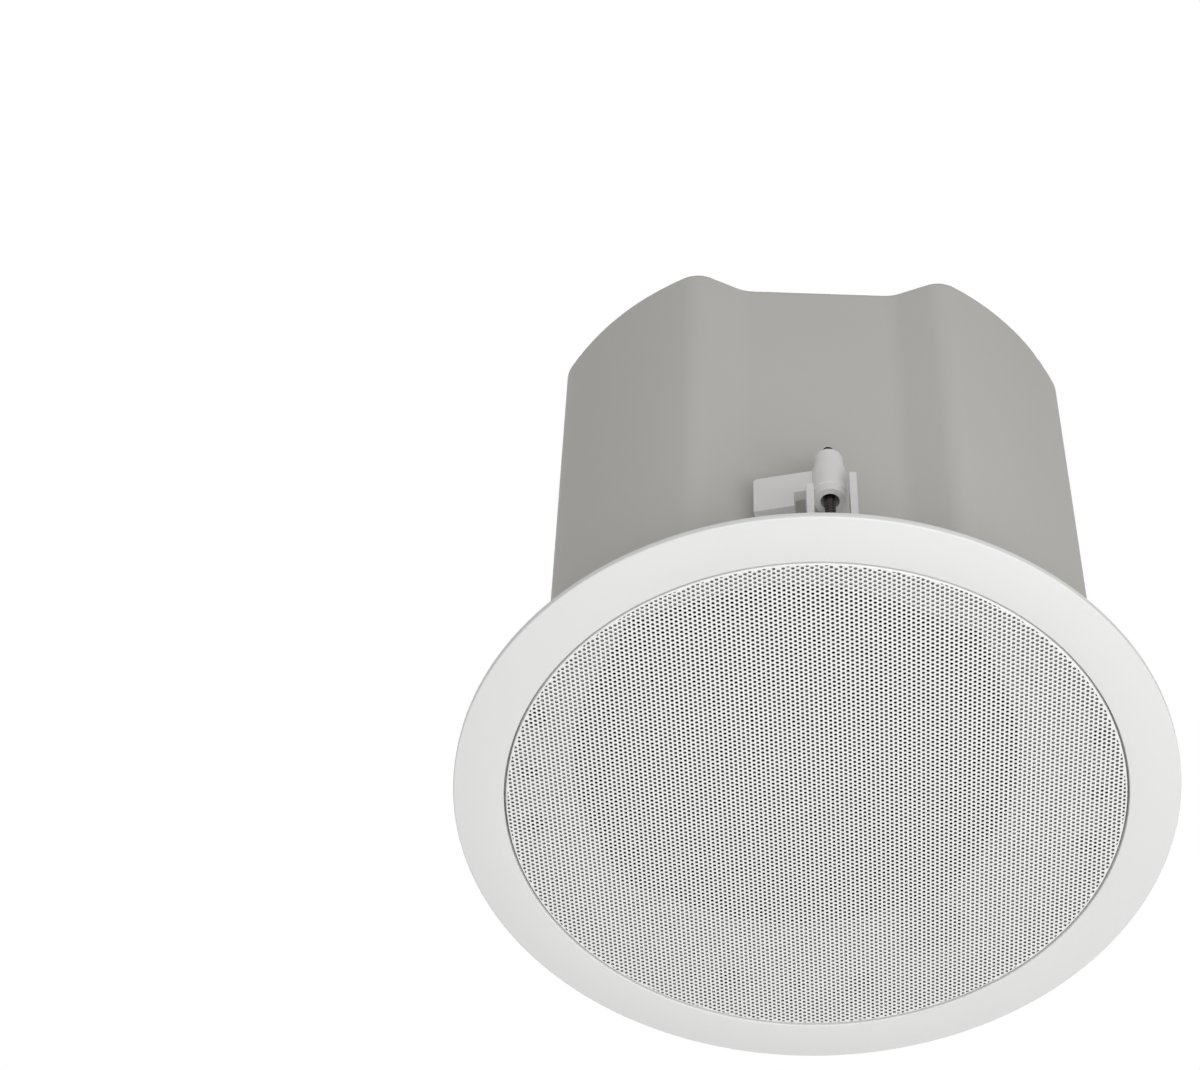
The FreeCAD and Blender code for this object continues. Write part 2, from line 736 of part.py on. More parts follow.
def frame_plate(low, high):
    """The woofer frame's front plate: a round with four ears, each joined to it by straight tangents."""
    radius, ear, reach = size("frame_radius"), size("ear_radius"), size("ear_circle")
    lean = math.acos((radius - ear) / reach)
    edges = []
    for index in range(EARS):
        middle = math.radians(FIRST_EAR + index * PATTERN_ANGLE / EARS)
        centre = FreeCAD.Vector(math.cos(middle), math.sin(middle), 0) * reach
        after = middle + 2 * math.pi / EARS

        def spot(angle, centre_point, length):
            return centre_point + FreeCAD.Vector(math.cos(angle), math.sin(angle), 0) * length

        origin = FreeCAD.Vector()
        first, second = spot(middle - lean, origin, radius), spot(middle - lean, centre, ear)
        third, fourth = spot(middle + lean, centre, ear), spot(middle + lean, origin, radius)
        edges.append(Part.LineSegment(first, second).toShape())
        edges.append(Part.Arc(second, spot(middle, centre, ear), third).toShape())
        edges.append(Part.LineSegment(third, fourth).toShape())
        between = spot((middle + after) / 2, origin, radius)
        edges.append(Part.Arc(fourth, between, spot(after - lean, origin, radius)).toShape())
    face = Part.Face(Part.Wire(edges))
    thing = doc.addObject("Part::Feature", "frame_plate")
    thing.Shape = face.extrude(Z_AXIS * (number(high) - number(low)))
    return bind(thing, x="driver_x", y="driver_y", z=low)


def make_woofer_frame():
    """Pressed basket: eared front plate, short wall, six open windows and the seat for the motor."""
    plate = frame_plate("floor_front - frame_thick", "floor_front")
    wall = "basket_radius - basket_wall"
    inner = "platform_radius - basket_wall"
    basket = turned("basket", [
        (wall, "floor_front - frame_thick"),
        ("basket_radius", "floor_front - frame_thick"),
        ("basket_radius", "basket_shoulder"),
        ("platform_radius", "platform_low"),
        ("platform_radius", "motor_seat"),
        ("coil_hole", "motor_seat"),
        ("coil_hole", "motor_seat - basket_wall"),
        (inner, "motor_seat - basket_wall"),
        (inner, "platform_low - basket_wall"),
        (wall, "basket_shoulder - basket_wall"),
    ], "driver_x", "driver_y")
    mouth = rod("frame_mouth", wall, "frame_thick * 3", "driver_x", "driver_y",
                "floor_front - frame_thick * 2")
    tools = [mouth]
    span = "(basket_radius - platform_radius)"
    rise = "(platform_low - basket_shoulder)"
    for index in range(WINDOWS):
        window = box("basket_window_%d" % index, span + " * window_span", "window_width",
                     rise + " * window_rise", "(basket_radius + platform_radius) / 2", "0", "basket_shoulder")
        carried = group("basket_window_turn_%d" % index, [window])
        turn(carried, index * PATTERN_ANGLE / WINDOWS)
        tools.append(bind(carried, x="driver_x", y="driver_y"))
    for index, (x, y) in enumerate(ear_places()):
        tools.append(rod("frame_ear_hole_%d" % index, "ear_screw_radius + hole_gap", "frame_thick * 3", x, y,
                         "floor_front - frame_thick * 2"))
    ribs = []
    for index in range(EARS):
        for side in (-1, 1):
            rib = box("ear_rib_%d_%d" % (index, side), "rib_width", "rib_length",
                      "rib_height + frame_thick / 2", "(gasket_outer + frame_radius) / 2 + rib_width / 2",
                      "%d * rib_spread" % side, "floor_front - frame_thick - rib_height")
            carried = group("ear_rib_turn_%d_%d" % (index, side), [rib])
            turn(carried, FIRST_EAR + index * PATTERN_ANGLE / EARS)
            ribs.append(bind(carried, x="driver_x", y="driver_y"))
    label(cut("frame_pressed", fuse("frame_blank", [plate, basket] + ribs), tools), "woofer_frame")
    face = "floor_front - frame_thick"
    screws = []
    for index, (x, y) in enumerate(ear_places()):
        head = turned("ear_screw_head_%d" % index, [
            ("0", face + " - ear_head"),
            ("ear_head_radius * head_crown", face + " - ear_head"),
            ("ear_head_radius", face + " - ear_head * head_side"),
            ("ear_head_radius", face),
            ("ear_screw_radius", face),
            ("ear_screw_radius", "floor_front + ear_screw_reach"),
            ("0", "floor_front + ear_screw_reach + ear_screw_radius"),
        ], x, y)
        screws.append(head)
    label(group("ear_screws", screws), "woofer_screws")


def make_moving_assembly():
    """Gasket, half-roll surround, curved cone, voice coil and corrugated spider."""
    at = ("driver_x", "driver_y")
    face = "floor_front - frame_thick"
    lip = face + " - surround_skin"
    gasket = ring("gasket_ring_turned", "gasket_outer", "gasket_inner", lip + " - gasket_ring", lip, *at)
    label(gasket, "woofer_gasket")
    inside = "roll_radius - surround_skin"
    label(turned("surround_turned", [
        ("cone_edge - surround_skin * 2", lip),
        ("roll_middle - roll_radius", lip),
        ("roll_middle + roll_radius", lip, "roll_radius + surround_skin / 4"),
        ("surround_outer", lip),
        ("surround_outer", face),
        ("roll_middle + " + inside, face),
        ("roll_middle - (" + inside + ")", face, "-(" + inside + " + surround_skin / 4)"),
        ("cone_edge - surround_skin * 2", face),
    ], *at), "woofer_surround")
    label(turned("cone_turned", [
        ("former_radius + running_gap", "cone_neck"),
        ("cone_edge", "cone_front", "-cone_curve"),
        ("cone_edge", "cone_front + cone_skin"),
        ("former_radius + running_gap", "cone_neck + cone_skin", "cone_curve"),
    ], *at), "woofer_cone")
    former = ring("former_turned", "former_radius", "former_radius - former_skin",
                  "cone_neck - 2 * cone_skin", "former_end", *at)
    label(former, "coil_former")
    winding = ring("winding_turned", "former_radius + winding_thick", "former_radius", "winding_low",
                   "former_end", *at)
    label(winding, "coil_winding")
    hole = "former_radius + winding_thick / 2"
    step = "(platform_radius - basket_wall - hole_gap - (%s)) / %d" % (hole, 2 * SPIDER_WAVES)
    reach = ["%s + %d * %s" % (hole, index, step) for index in range(2 * SPIDER_WAVES + 1)]
    waves = ["spider_height + %d * spider_wave" % (index % 2) for index in range(2 * SPIDER_WAVES + 1)]
    low = list(zip(reach, waves))
    high = [(place, wave + " + spider_skin") for place, wave in reversed(low)]
    label(turned("spider_turned", low + high, *at), "woofer_spider")


def make_motor():
    """Top plate, ring magnet and a yoke whose pole carries the tweeter's post."""
    at = ("driver_x", "driver_y")
    plate_top = "motor_seat + plate_thick"
    magnet_top = plate_top + " + magnet_height"
    yoke_top = magnet_top + " + yoke_thick"
    label(ring("plate_turned", "plate_radius", "plate_hole", "motor_seat", plate_top, *at), "top_plate")
    label(ring("magnet_turned", "magnet_radius", "magnet_hole", plate_top, magnet_top, *at), "magnet_ring")
    label(turned("yoke_turned", [
        ("pole_bore", "motor_seat"),
        ("pole_radius", "motor_seat"),
        ("pole_radius", magnet_top),
        ("yoke_radius", magnet_top),
        ("yoke_radius", yoke_top + " - yoke_thick / 3"),
        ("yoke_radius - yoke_thick / 3", yoke_top),
        ("pole_bore", yoke_top),
    ], *at), "pole_yoke")
    stud = rod("post_stud", "post_radius", "%s + post_nut - tweeter_back" % yoke_top, *at, "tweeter_back")
    nut = hexagon("post_nut", "post_nut_flats", "post_nut", *at, yoke_top)
    label(fuse("post_with_nut", [stud, nut]), "tweeter_post")


def make_tweeter():
    """Horn with two fins across it, housing behind it, dome on its coil, and motor slug."""
    at = ("driver_x", "driver_y")
    throat = "tweeter_front + throat_depth"
    back_radius = "throat_radius + horn_wall"
    horn = turned("horn_turned", [
        ("throat_radius", throat),
        ("horn_mouth", "tweeter_front", "-horn_curve"),
        ("tweeter_radius - horn_rim / 2", "tweeter_front"),
        ("tweeter_radius", "tweeter_front + horn_rim / 2", "horn_rim / 2"),
        ("tweeter_radius", "tweeter_front + horn_rim"),
        (back_radius, throat),
    ], *at)
    fins = [horn]
    for side in (-1, 1):
        fin = box("fin_blank_%d" % side, "horn_mouth * 2", "fin_width", "fin_depth", "0",
                  "%d * fin_offset" % side, "tweeter_front + hole_gap")
        carried = turn(group("fin_turn_%d" % side, [fin]), FIN_ANGLE)
        bind(carried, x=at[0], y=at[1])
        keep = doc.addObject("Part::Common", "fin_%d" % side)
        keep.Base = carried
        keep.Tool = rod("fin_round_%d" % side, "horn_mouth", "fin_depth * 2", *at, "tweeter_front")
        fins.append(keep)
    label(fuse("horn_with_fins", fins), "tweeter_horn")
    floor = "tweeter_back - horn_wall"
    label(turned("housing_turned", [
        ("0", floor),
        (back_radius, floor),
        (back_radius, throat + " + running_gap"),
        ("tweeter_radius", "tweeter_front + horn_rim + running_gap"),
        ("tweeter_radius", "tweeter_back - housing_slope"),
        ("tweeter_radius - housing_taper", "tweeter_back"),
        ("0", "tweeter_back"),
    ], *at), "tweeter_housing")
    rim = throat + " + hole_gap"
    sphere = "(dome_radius ^ 2 + dome_rise ^ 2) / (2 * dome_rise)"
    label(turned("dome_turned", [
        ("0", rim + " - dome_rise"),
        ("dome_radius", rim, sphere),
        ("dome_radius", rim + " + dome_rise"),
        ("dome_radius - dome_skin", rim + " + dome_rise"),
        ("dome_radius - dome_skin", rim + " + dome_skin"),
        ("0", rim + " + dome_skin - dome_rise", "-(%s)" % sphere),
    ], *at), "tweeter_dome")
    slug_low = rim + " + dome_rise / 2"
    slug = rod("tweeter_slug", "tweeter_motor", "%s - (%s)" % (floor, slug_low), *at, slug_low)
    label(slug, "tweeter_motor")


def make_port_and_selector():
    """Flared port tube through the baffle, and the coin-slot tap selector with its switch."""
    outer = "port_radius + port_wall"
    label(turned("port_turned", [
        ("port_radius + port_wall / 2", "floor_front"),
        (outer, "floor_front"),
        (outer, FLOOR_BACK),
        (outer + " + port_wall", FLOOR_BACK),
        (outer + " + port_wall", FLOOR_BACK + " + port_collar"),
        (outer, FLOOR_BACK + " + port_collar"),
        (outer, "floor_front + port_length"),
        ("port_radius", "floor_front + port_length"),
        ("port_radius", "floor_front + port_flare"),
    ], "port_x", "port_y"), "port_tube")
    low = "floor_front - knob_proud"
    disc = turned("knob_turned", [
        ("0", low),
        ("knob_radius - knob_edge", low),
        ("knob_radius", low + " + knob_edge"),
        ("knob_radius", low + " + knob_height"),
        ("spindle_radius", low + " + knob_height"),
        ("spindle_radius", FLOOR_BACK + " + knob_height"),
        ("0", FLOOR_BACK + " + knob_height"),
    ], "knob_x", "knob_y")
    slot = box("knob_slot_cut", "knob_slot_length", "knob_slot", "knob_slot_depth * 2", "0", "0",
               low + " - knob_slot_depth")
    carried = turn(group("knob_slot_turn", [slot]), FIRST_EAR / 2)
    bind(carried, x="knob_x", y="knob_y")
    label(cut("knob_slotted", disc, [carried]), "selector_knob")
    body_low = FLOOR_BACK
    deck = FLOOR_BACK + " + knob_height / 2"
    label(turned("switch_turned", [
        ("spindle_radius + running_gap", deck),
        ("switch_radius", deck),
        ("switch_radius", body_low),
        ("knob_radius + knob_gap + switch_lip", body_low),
        ("knob_radius + knob_gap + switch_lip", deck + " + switch_flange"),
        ("switch_radius", deck + " + switch_flange"),
        ("switch_radius", body_low + " + switch_height"),
        ("0", body_low + " + switch_height"),
        ("0", body_low + " + knob_height + knob_gap"),
        ("spindle_radius + running_gap", body_low + " + knob_height + knob_gap"),
    ], "knob_x", "knob_y"), "selector_switch")


def make_transformer():
    """Laminated line transformer under a strap that hangs from the can's top."""
    roof = "can_top - can_wall"
    core_top = roof + " - strap_thick"
    core_low = core_top + " - core_height"
    window_low = core_low + " + (core_height - core_window_height) / 2"
    stack = box("core_stack", "core_width", "core_stack", "core_height", "transformer_x", "0", core_low)
    windows = []
    for side in (-1, 1):
        windows.append(box("core_window_%d" % side, "core_window", "core_stack * 2", "core_window_height",
                           "transformer_x + %d * (core_leg + core_window) / 2" % side, "0", window_low))
    label(cut("core_cut", stack, windows), "transformer_core")
    length = "core_window_height - 2 * bobbin_gap"
    coil = box("winding_outside", "core_leg + 2 * bobbin_gap + 2 * bobbin_build",
               "core_stack + 2 * bobbin_gap + 2 * bobbin_build", length, "transformer_x", "0",
               window_low + " + bobbin_gap")
    leg = box("winding_inside", "core_leg + 2 * bobbin_gap", "core_stack + 2 * bobbin_gap",
              length + " + core_leg", "transformer_x", "0", window_low + " - core_leg / 4")
    label(cut("winding_wound", coil, [leg]), "transformer_winding")
    top = box("strap_top", "core_width + 2 * strap_thick + 2 * strap_ear", "strap_width", "strap_thick",
              "transformer_x", "0", core_top)
    legs = [box("strap_leg_%d" % side, "strap_thick", "strap_width", "strap_drop + strap_thick",
                "transformer_x + %d * (core_width + strap_thick) / 2" % side, "0", core_top + " - strap_drop")
            for side in (-1, 1)]
    label(fuse("strap_folded", [top] + legs), "transformer_strap")


def make_crossover():
    """Crossover board on four standoffs, with an air-core inductor and two capacitors on its lower face."""
    roof = "can_top - can_wall"
    board_top = roof + " - standoff_height"
    under = board_top + " - board_thick"
    board = box("board_sheet", "board_width", "board_depth", "board_thick", "board_x", "0", under)
    label(board, "crossover_board")
    posts = []
    for across in (-1, 1):
        for along in (-1, 1):
            posts.append(rod("standoff_%d_%d" % (across, along), "standoff_radius", "standoff_height",
                             "board_x + %d * (board_width / 2 - standoff_edge)" % across,
                             "%d * (board_depth / 2 - standoff_edge)" % along, board_top))
    label(group("standoff_set", posts), "board_standoffs")
    label(ring("inductor_wound", "inductor_radius", "inductor_hole", under + " - inductor_height", under,
               "board_x - board_width / 4", "0"), "crossover_inductor")
    cans = [rod("capacitor_%d" % side, "capacitor_radius", "capacitor_length", "board_x + board_width / 4",
                "%d * capacitor_spread" % side, under + " - capacitor_length") for side in (-1, 1)]
    label(group("capacitor_pair", cans), "crossover_capacitors")


def make_top_fittings():
    """Terminal cover with a cable inlet, terminal block, tether eye and their screws, on the can's top."""
    outside = box("cover_outside", "cover_width", "cover_depth", "cover_height", z="can_top")
    inside = box("cover_inside", "cover_width - 2 * cover_sheet", "cover_depth - 2 * cover_sheet",
                 "cover_height", z="can_top - cover_sheet")
    tabs = box("cover_tabs", "cover_width + 2 * cover_tab", "cover_depth / 2", "cover_sheet", z="can_top")
    inlet = doc.addObject("Part::Cylinder", "cover_inlet")
    inlet.Placement = FreeCAD.Placement(FreeCAD.Vector(), FreeCAD.Rotation(FreeCAD.Vector(1, 0, 0), 90))
    bind(inlet, Radius="inlet_radius", Height="cover_depth", y="0", z="can_top + cover_height / 2")
    tab_x = "(cover_width / 2 + cover_tab / 2)"
    holes = [rod("cover_hole_%d" % side, "top_screw_radius", "cover_sheet * 3", "%d * %s" % (side, tab_x),
                 "0", "can_top - cover_sheet") for side in (-1, 1)]
    cover = fuse("cover_blank", [outside, tabs])
    label(cut("cover_folded", cover, [inside, inlet] + holes), "terminal_cover")
    block = box("block_body", "block_width", "block_depth", "block_height", "0", "block_y", "can_top")
    well_pitch = "block_width / %d" % BLOCK_WELLS
    middle = (BLOCK_WELLS - 1) / 2
    offsets = ["%s * %g" % (well_pitch, index - middle) for index in range(BLOCK_WELLS)]
    wells = [rod("block_well_%d" % index, "block_hole", "block_height", offset, "block_y",
                 "can_top + block_height / 2") for index, offset in enumerate(offsets)]
    label(cut("block_moulded", block, wells), "terminal_block")
    foot = box("eye_foot", "eye_width", "eye_foot", "eye_sheet", "0", "eye_y + eye_foot / 2", "can_top")
    upright = box("eye_upright", "eye_width", "eye_sheet", "eye_height", "0", "eye_y + eye_sheet / 2",
                  "can_top")
    bore = doc.addObject("Part::Cylinder", "eye_bore")
    bore.Placement = FreeCAD.Placement(FreeCAD.Vector(), FreeCAD.Rotation(FreeCAD.Vector(1, 0, 0), 90))
    bind(bore, Radius="eye_hole", Height="eye_sheet * 4", y="eye_y + eye_sheet * 2",
         z="can_top + eye_height - eye_width / 2")
    screw_hole = rod("eye_screw_hole", "top_screw_radius", "eye_sheet * 3", "0", "eye_y + eye_screw_reach",
                     "can_top - eye_sheet")
    label(cut("eye_folded", fuse("eye_blank", [foot, upright]), [bore, screw_hole]), "tether_eye")
    heads = [top_screw("cover_screw_%d" % side, "%d * %s" % (side, tab_x), "0", "can_top + cover_sheet")
             for side in (-1, 1)]
    heads.append(top_screw("eye_screw", "0", "eye_y + eye_screw_reach", "can_top + eye_sheet"))
    label(group("top_screw_set", heads), "top_screws")


def top_screw(name, x, y, seat):
    """A short pan-head screw whose shank ends in the sheet it holds."""
    return turned(name, [
        ("0", "can_top"),
        ("top_screw_radius", "can_top"),
        ("top_screw_radius", seat),
        ("top_screw_head", seat),
        ("top_screw_head", seat + " + top_screw_head_height / 2"),
        ("top_screw_head / 2", seat + " + top_screw_head_height"),
        ("0", seat + " + top_screw_head_height"),
    ], x, y)


def export():
    """Checks every object and every sub-part's shape, then writes one file for each sub-part."""
    doc.recompute()
    faults = [thing.Name for thing in doc.Objects if {"Invalid", "Error"} & set(thing.State)]
    faults += [thing.Label for thing in subparts if thing.Shape.isNull() or not thing.Shape.isValid()]
    if faults:
        raise RuntimeError("failed objects: " + ", ".join(faults))
    os.makedirs("parts", exist_ok=True)
    for thing in subparts:
        thing.Shape.exportStep(os.path.join("parts", thing.Label + ".step"))


make_bezel()
make_grille()
make_can()
for clamp_index, clamp_pair in enumerate(CLAMP_TURNS):
    make_clamp(clamp_index, clamp_pair)
make_woofer_frame()
make_moving_assembly()
make_motor()
make_tweeter()
make_port_and_selector()
make_transformer()
make_crossover()
make_top_fittings()
export()
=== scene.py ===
import math
from typing import NamedTuple

import bpy
import numpy as np
from bpy.props import FloatProperty, FloatVectorProperty, IntProperty, PointerProperty
from mathutils import Matrix, Vector


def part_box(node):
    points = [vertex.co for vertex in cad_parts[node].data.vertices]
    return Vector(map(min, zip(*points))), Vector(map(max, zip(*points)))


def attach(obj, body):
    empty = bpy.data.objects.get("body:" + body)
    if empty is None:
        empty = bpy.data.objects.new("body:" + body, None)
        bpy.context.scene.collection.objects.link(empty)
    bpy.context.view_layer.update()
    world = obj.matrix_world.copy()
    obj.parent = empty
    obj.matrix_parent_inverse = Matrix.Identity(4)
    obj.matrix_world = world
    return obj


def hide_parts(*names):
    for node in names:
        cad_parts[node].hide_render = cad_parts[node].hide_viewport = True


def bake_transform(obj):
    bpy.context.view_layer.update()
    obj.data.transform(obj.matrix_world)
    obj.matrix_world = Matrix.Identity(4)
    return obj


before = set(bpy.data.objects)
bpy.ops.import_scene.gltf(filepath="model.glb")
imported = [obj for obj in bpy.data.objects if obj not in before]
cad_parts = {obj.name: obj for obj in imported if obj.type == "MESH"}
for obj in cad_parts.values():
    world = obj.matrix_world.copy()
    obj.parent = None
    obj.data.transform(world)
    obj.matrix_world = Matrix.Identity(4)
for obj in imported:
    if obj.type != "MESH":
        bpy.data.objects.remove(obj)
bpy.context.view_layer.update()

bl_info = {
    "name": "Ceiling speaker",
    "version": (1, 0, 0),
    "blender": (4, 5, 0),
    "location": "View3D > Sidebar > Speaker",
    "description": "Dresses the packed ceiling speaker: grille, screws, finishes, studio",
    "category": "Object",
}

MM = 0.001
WELD = 2e-6    # points that fall in one cell of this size, in metres, are one point
HEX = 6        # corners of a hexagon
CLAMPS = (1, 2, 3, 4)
GRILLE_LOW, GRILLE_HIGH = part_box("grille")
# An edge bent by more than its kind's angle, in degrees, stays hard.
MOULDED, TURNED, MACHINED, ROUNDED, FLEXIBLE = 24.0, 30.0, 35.0, 40.0, 50.0


def setting(kind, **fixed):
    """A maker of properties of one kind, each from a name, a description and a default."""
    return lambda name, description, default: kind(
        name=name, description=description, default=default, **fixed)


length = setting(FloatProperty, unit="LENGTH", precision=5)
share = setting(FloatProperty, subtype="FACTOR", precision=4)
bearing = setting(FloatProperty, subtype="ANGLE")
power = setting(FloatProperty, unit="POWER")
number = setting(IntProperty, min=1)
place = setting(FloatVectorProperty, size=3, subtype="TRANSLATION", unit="LENGTH")
colour = setting(FloatVectorProperty, size=3, subtype="COLOR", min=0.0, max=1.0)


class GrilleSettings(bpy.types.PropertyGroup):
    """Sizes of the perforated grille."""
    pitch: length("Pitch", "Distance between neighbouring holes", 2.37 * MM)
    hole: length("Hole", "Diameter of one hole", 1.52 * MM)
    sheet: length("Sheet", "Thickness of the steel sheet", 0.8 * MM)
    bend: length("Bend", "Outer radius of the sheet's bend into the rim", 0.6 * MM)
    inner_bend: length("Inner bend", "Least inner radius of that bend", 0.1 * MM)
    web: length("Rim web", "Web between a hole cut by the rim and the bend", 0.15 * MM)
    turn: bearing("Turn", "Turn of the hole pattern about the axis", math.radians(-4.85))
    sectors: number("Sectors", "Pieces that the sheet is made in", 4)
    steps: number("Steps", "Steps round the rim", 360)


class BezelSettings(bpy.types.PropertyGroup):
    """Sizes of the bezel's visible ring."""
    grille_gap: length("Grille gap", "Gap between the grille's rim and the bezel's lip", 1.0 * MM)
    lip_round: length("Lip round", "Round of the lip's edge", 0.6 * MM)
    bevel: length("Bevel", "Width of the bevel along the outer edge", 10.0 * MM)
    bevel_start: length("Bevel start", "Height of the front where the bevel starts", -4.1 * MM)
    edge_front: length("Edge front", "Height of the front at the outer edge", -3.0 * MM)
    edge_round: length("Edge round", "Round of the outer edge", 0.8 * MM)
    soften: length("Softening", "Half width of the curve at the bevel's start", 4.0 * MM)
    neck: length("Neck", "Radius of the neck behind the bezel", 143.6 * MM)
    bury: length("Bury", "Reach of the ring's return into the neck's wall", 0.6 * MM)
    steps: number("Steps", "Steps round the ring", 512)


class ScrewSettings(bpy.types.PropertyGroup):
    """Sizes of the clamp screws and the woofer's ear screws."""
    shank: length("Shank", "Outer radius of the clamp screw's thread", 2.5 * MM)
    head_rise: length("Head rise", "Head height of the clamp screw", 2.6 * MM)
    grip: length("Grip", "Wall between the clamp screw's head and its collar", 3.3 * MM)
    collar: length("Collar", "Radius of the collar that holds the clamp screw", 4.4 * MM)
    collar_rise: length("Collar rise", "Height of that collar", 1.2 * MM)
    tip: length("Tip", "Length of the clamp screw's tapered tip", 1.2 * MM)
    tip_share: share("Tip share", "Radius of the tip's end as a share of the shank's", 0.6)
    run: length("Run", "Plain stretch at either end of the thread", 0.1 * MM)
    thread_pitch: length("Thread pitch", "Rise of the thread per turn", 2.0 * MM)
    thread_depth: length("Thread depth", "Height of the thread", 0.55 * MM)
    recess_width: length("Recess width", "Width of one arm of the cross recess", 1.1 * MM)
    recess_reach: length("Recess reach", "Reach of the recess from the middle", 2.5 * MM)
    recess_depth: length("Recess depth", "Depth of the cross recess", 1.3 * MM)
    ear_head: length("Ear head", "Head radius of the woofer's screws", 4.3 * MM)
    ear_rise: length("Ear rise", "Head height of the woofer's screws", 2.8 * MM)
    ear_shank: length("Ear shank", "Shank radius of the woofer's screws", 2.4 * MM)
    steps: number("Steps", "Steps round a clamp screw", 32)
    ear_steps: number("Ear steps", "Steps round a woofer screw", 40)


class SuspensionSettings(bpy.types.PropertyGroup):
    """Sizes of the surround and the spider."""
    land: length("Land", "Inner radius of the surround", 75.4 * MM)
    roll: length("Roll", "Radius of the middle of the half roll", 85.0 * MM)
    roll_half: length("Roll half", "Half of the roll's width", 7.4 * MM)
    roll_curve: length("Roll curve", "Radius of the roll's front", 7.6 * MM)
    skin: length("Skin", "Thickness of the rubber and of the cloth", 0.8 * MM)
    hole: length("Spider hole", "Radius of the spider's hole", 17.9 * MM)
    wave: length("Wave", "Height of one corrugation of the spider", 1.8 * MM)
    waves: number("Waves", "Corrugations of the spider", 4)
    rim: length("Spider rim", "Flat rim of the spider that stays on the frame", 4.0 * MM)
    surround_sectors: number("Surround sectors", "Pieces that the surround bends in", 24)
    spider_sectors: number("Spider sectors", "Pieces that the spider bends in", 8)
    steps: number("Steps", "Steps along one sector", 16)


class FinishSettings(bpy.types.PropertyGroup):
    """Colours of the finishes."""
    white: colour("White moulding", "Bezel and baffle", (0.79, 0.79, 0.785))
    # Painted shade: this grey darkens the selector's slot and the ring round the knob, recesses
    # where shade falls.
    slot: colour("Slot grey", "Shaded slot of the selector", (0.33, 0.33, 0.31))
    grille: colour("Grille white", "Powder coat of the grille", (0.88, 0.885, 0.87))
    # Painted shade: this dark colour goes on the grille's hole walls and back, so the holes read
    # dark.
    primer: colour("Primer", "Primer on the grille's back and in its holes", (0.055, 0.052, 0.050))
    clamp: colour("Clamp white", "Nylon of the clamps", (0.81, 0.795, 0.785))
    can: colour("Can grey", "Paint of the back can", (0.61, 0.603, 0.574))
    black: colour("Black", "Woofer frame and its screws", (0.018, 0.018, 0.019))
    steel: colour("Black steel", "Clamp screws and bolts", (0.050, 0.044, 0.042))
    brass: colour("Brass", "Clamp nuts", (0.62, 0.45, 0.17))
    felt: colour("Felt", "Gaskets", (0.024, 0.024, 0.025))
    rubber: colour("Rubber", "Surround", (0.014, 0.014, 0.015))
    cone: colour("Cone", "Paper of the cone", (0.020, 0.020, 0.021))
    spider: colour("Spider", "Cloth of the spider", (0.40, 0.29, 0.12))
    former: colour("Former", "Paper of the voice coil's former", (0.085, 0.042, 0.018))
    horn: colour("Horn", "Plastic of the tweeter", (0.020, 0.020, 0.021))
    dome: colour("Dome", "Silk of the tweeter's dome", (0.012, 0.011, 0.014))
    ferrite: colour("Ferrite", "Magnets and cores", (0.045, 0.045, 0.05))
    zinc: colour("Zinc", "Plated steel fittings", (0.52, 0.53, 0.54))
    copper: colour("Copper", "Enamelled wire", (0.50, 0.20, 0.07))
    board: colour("Board", "Laminate of the crossover board", (0.025, 0.14, 0.05))
    moulding: colour("Black moulding", "Switch, capacitors and terminals", (0.028, 0.028, 0.029))
    port: colour("Port", "Plastic of the port", (0.60, 0.60, 0.59))
    floor: colour("Floor", "Floor of the studio", (0.82, 0.82, 0.82))


class StageSettings(bpy.types.PropertyGroup):
    """Light and floor."""
    ambient: share("Ambient", "Strength of the even light from all round", 0.50)
    flag: share("Flag", "Share of the even light held back on the right", 0.8)
    left_flag: share("Left flag", "Share of the even light held back on the left", 0.25)
    key: power("Key", "Power of the large lamp below the front", 29.0)
    key_place: place("Key place", "Middle of the large lamp", (0.52, -0.95, -1.50))
    key_aim: place("Key aim", "Where the large lamp points", (0.0, 0.0, 0.0))
    key_width: length("Key width", "Side of the large lamp", 1.8)
    top: power("Top", "Power of the lamp above", 26.0)
    top_place: place("Top place", "Middle of the lamp above", (0.0, 1.0, 2.2))
    top_aim: place("Top aim", "Where the lamp above points", (0.0, 0.0, 0.2))
    top_width: length("Top width", "Side of the lamp above", 2.2)
    floor: length("Floor", "Height of the floor below the ceiling plane", -2.2)
    floor_reach: length("Floor reach", "Half of the floor's side", 12.0)
    near_glow: share("Near glow", "Brightness added to the floor near the middle", 0.44)
    far_glow: share("Far glow", "Brightness added where the floor is white", 0.75)
    glow_start: length("Glow start", "Distance from which the floor grows white", 2.52)
    glow_end: length("Glow end", "Distance at which the floor is white", 8.4)


class SpeakerSettings(bpy.types.PropertyGroup):
    """All settings of the speaker."""
    grille: PointerProperty(type=GrilleSettings)
    bezel: PointerProperty(type=BezelSettings)
    screws: PointerProperty(type=ScrewSettings)
    suspension: PointerProperty(type=SuspensionSettings)
    finishes: PointerProperty(type=FinishSettings)
    stage: PointerProperty(type=StageSettings)


def settings():
    """The speaker's settings in the open scene."""
    return bpy.context.scene.speaker


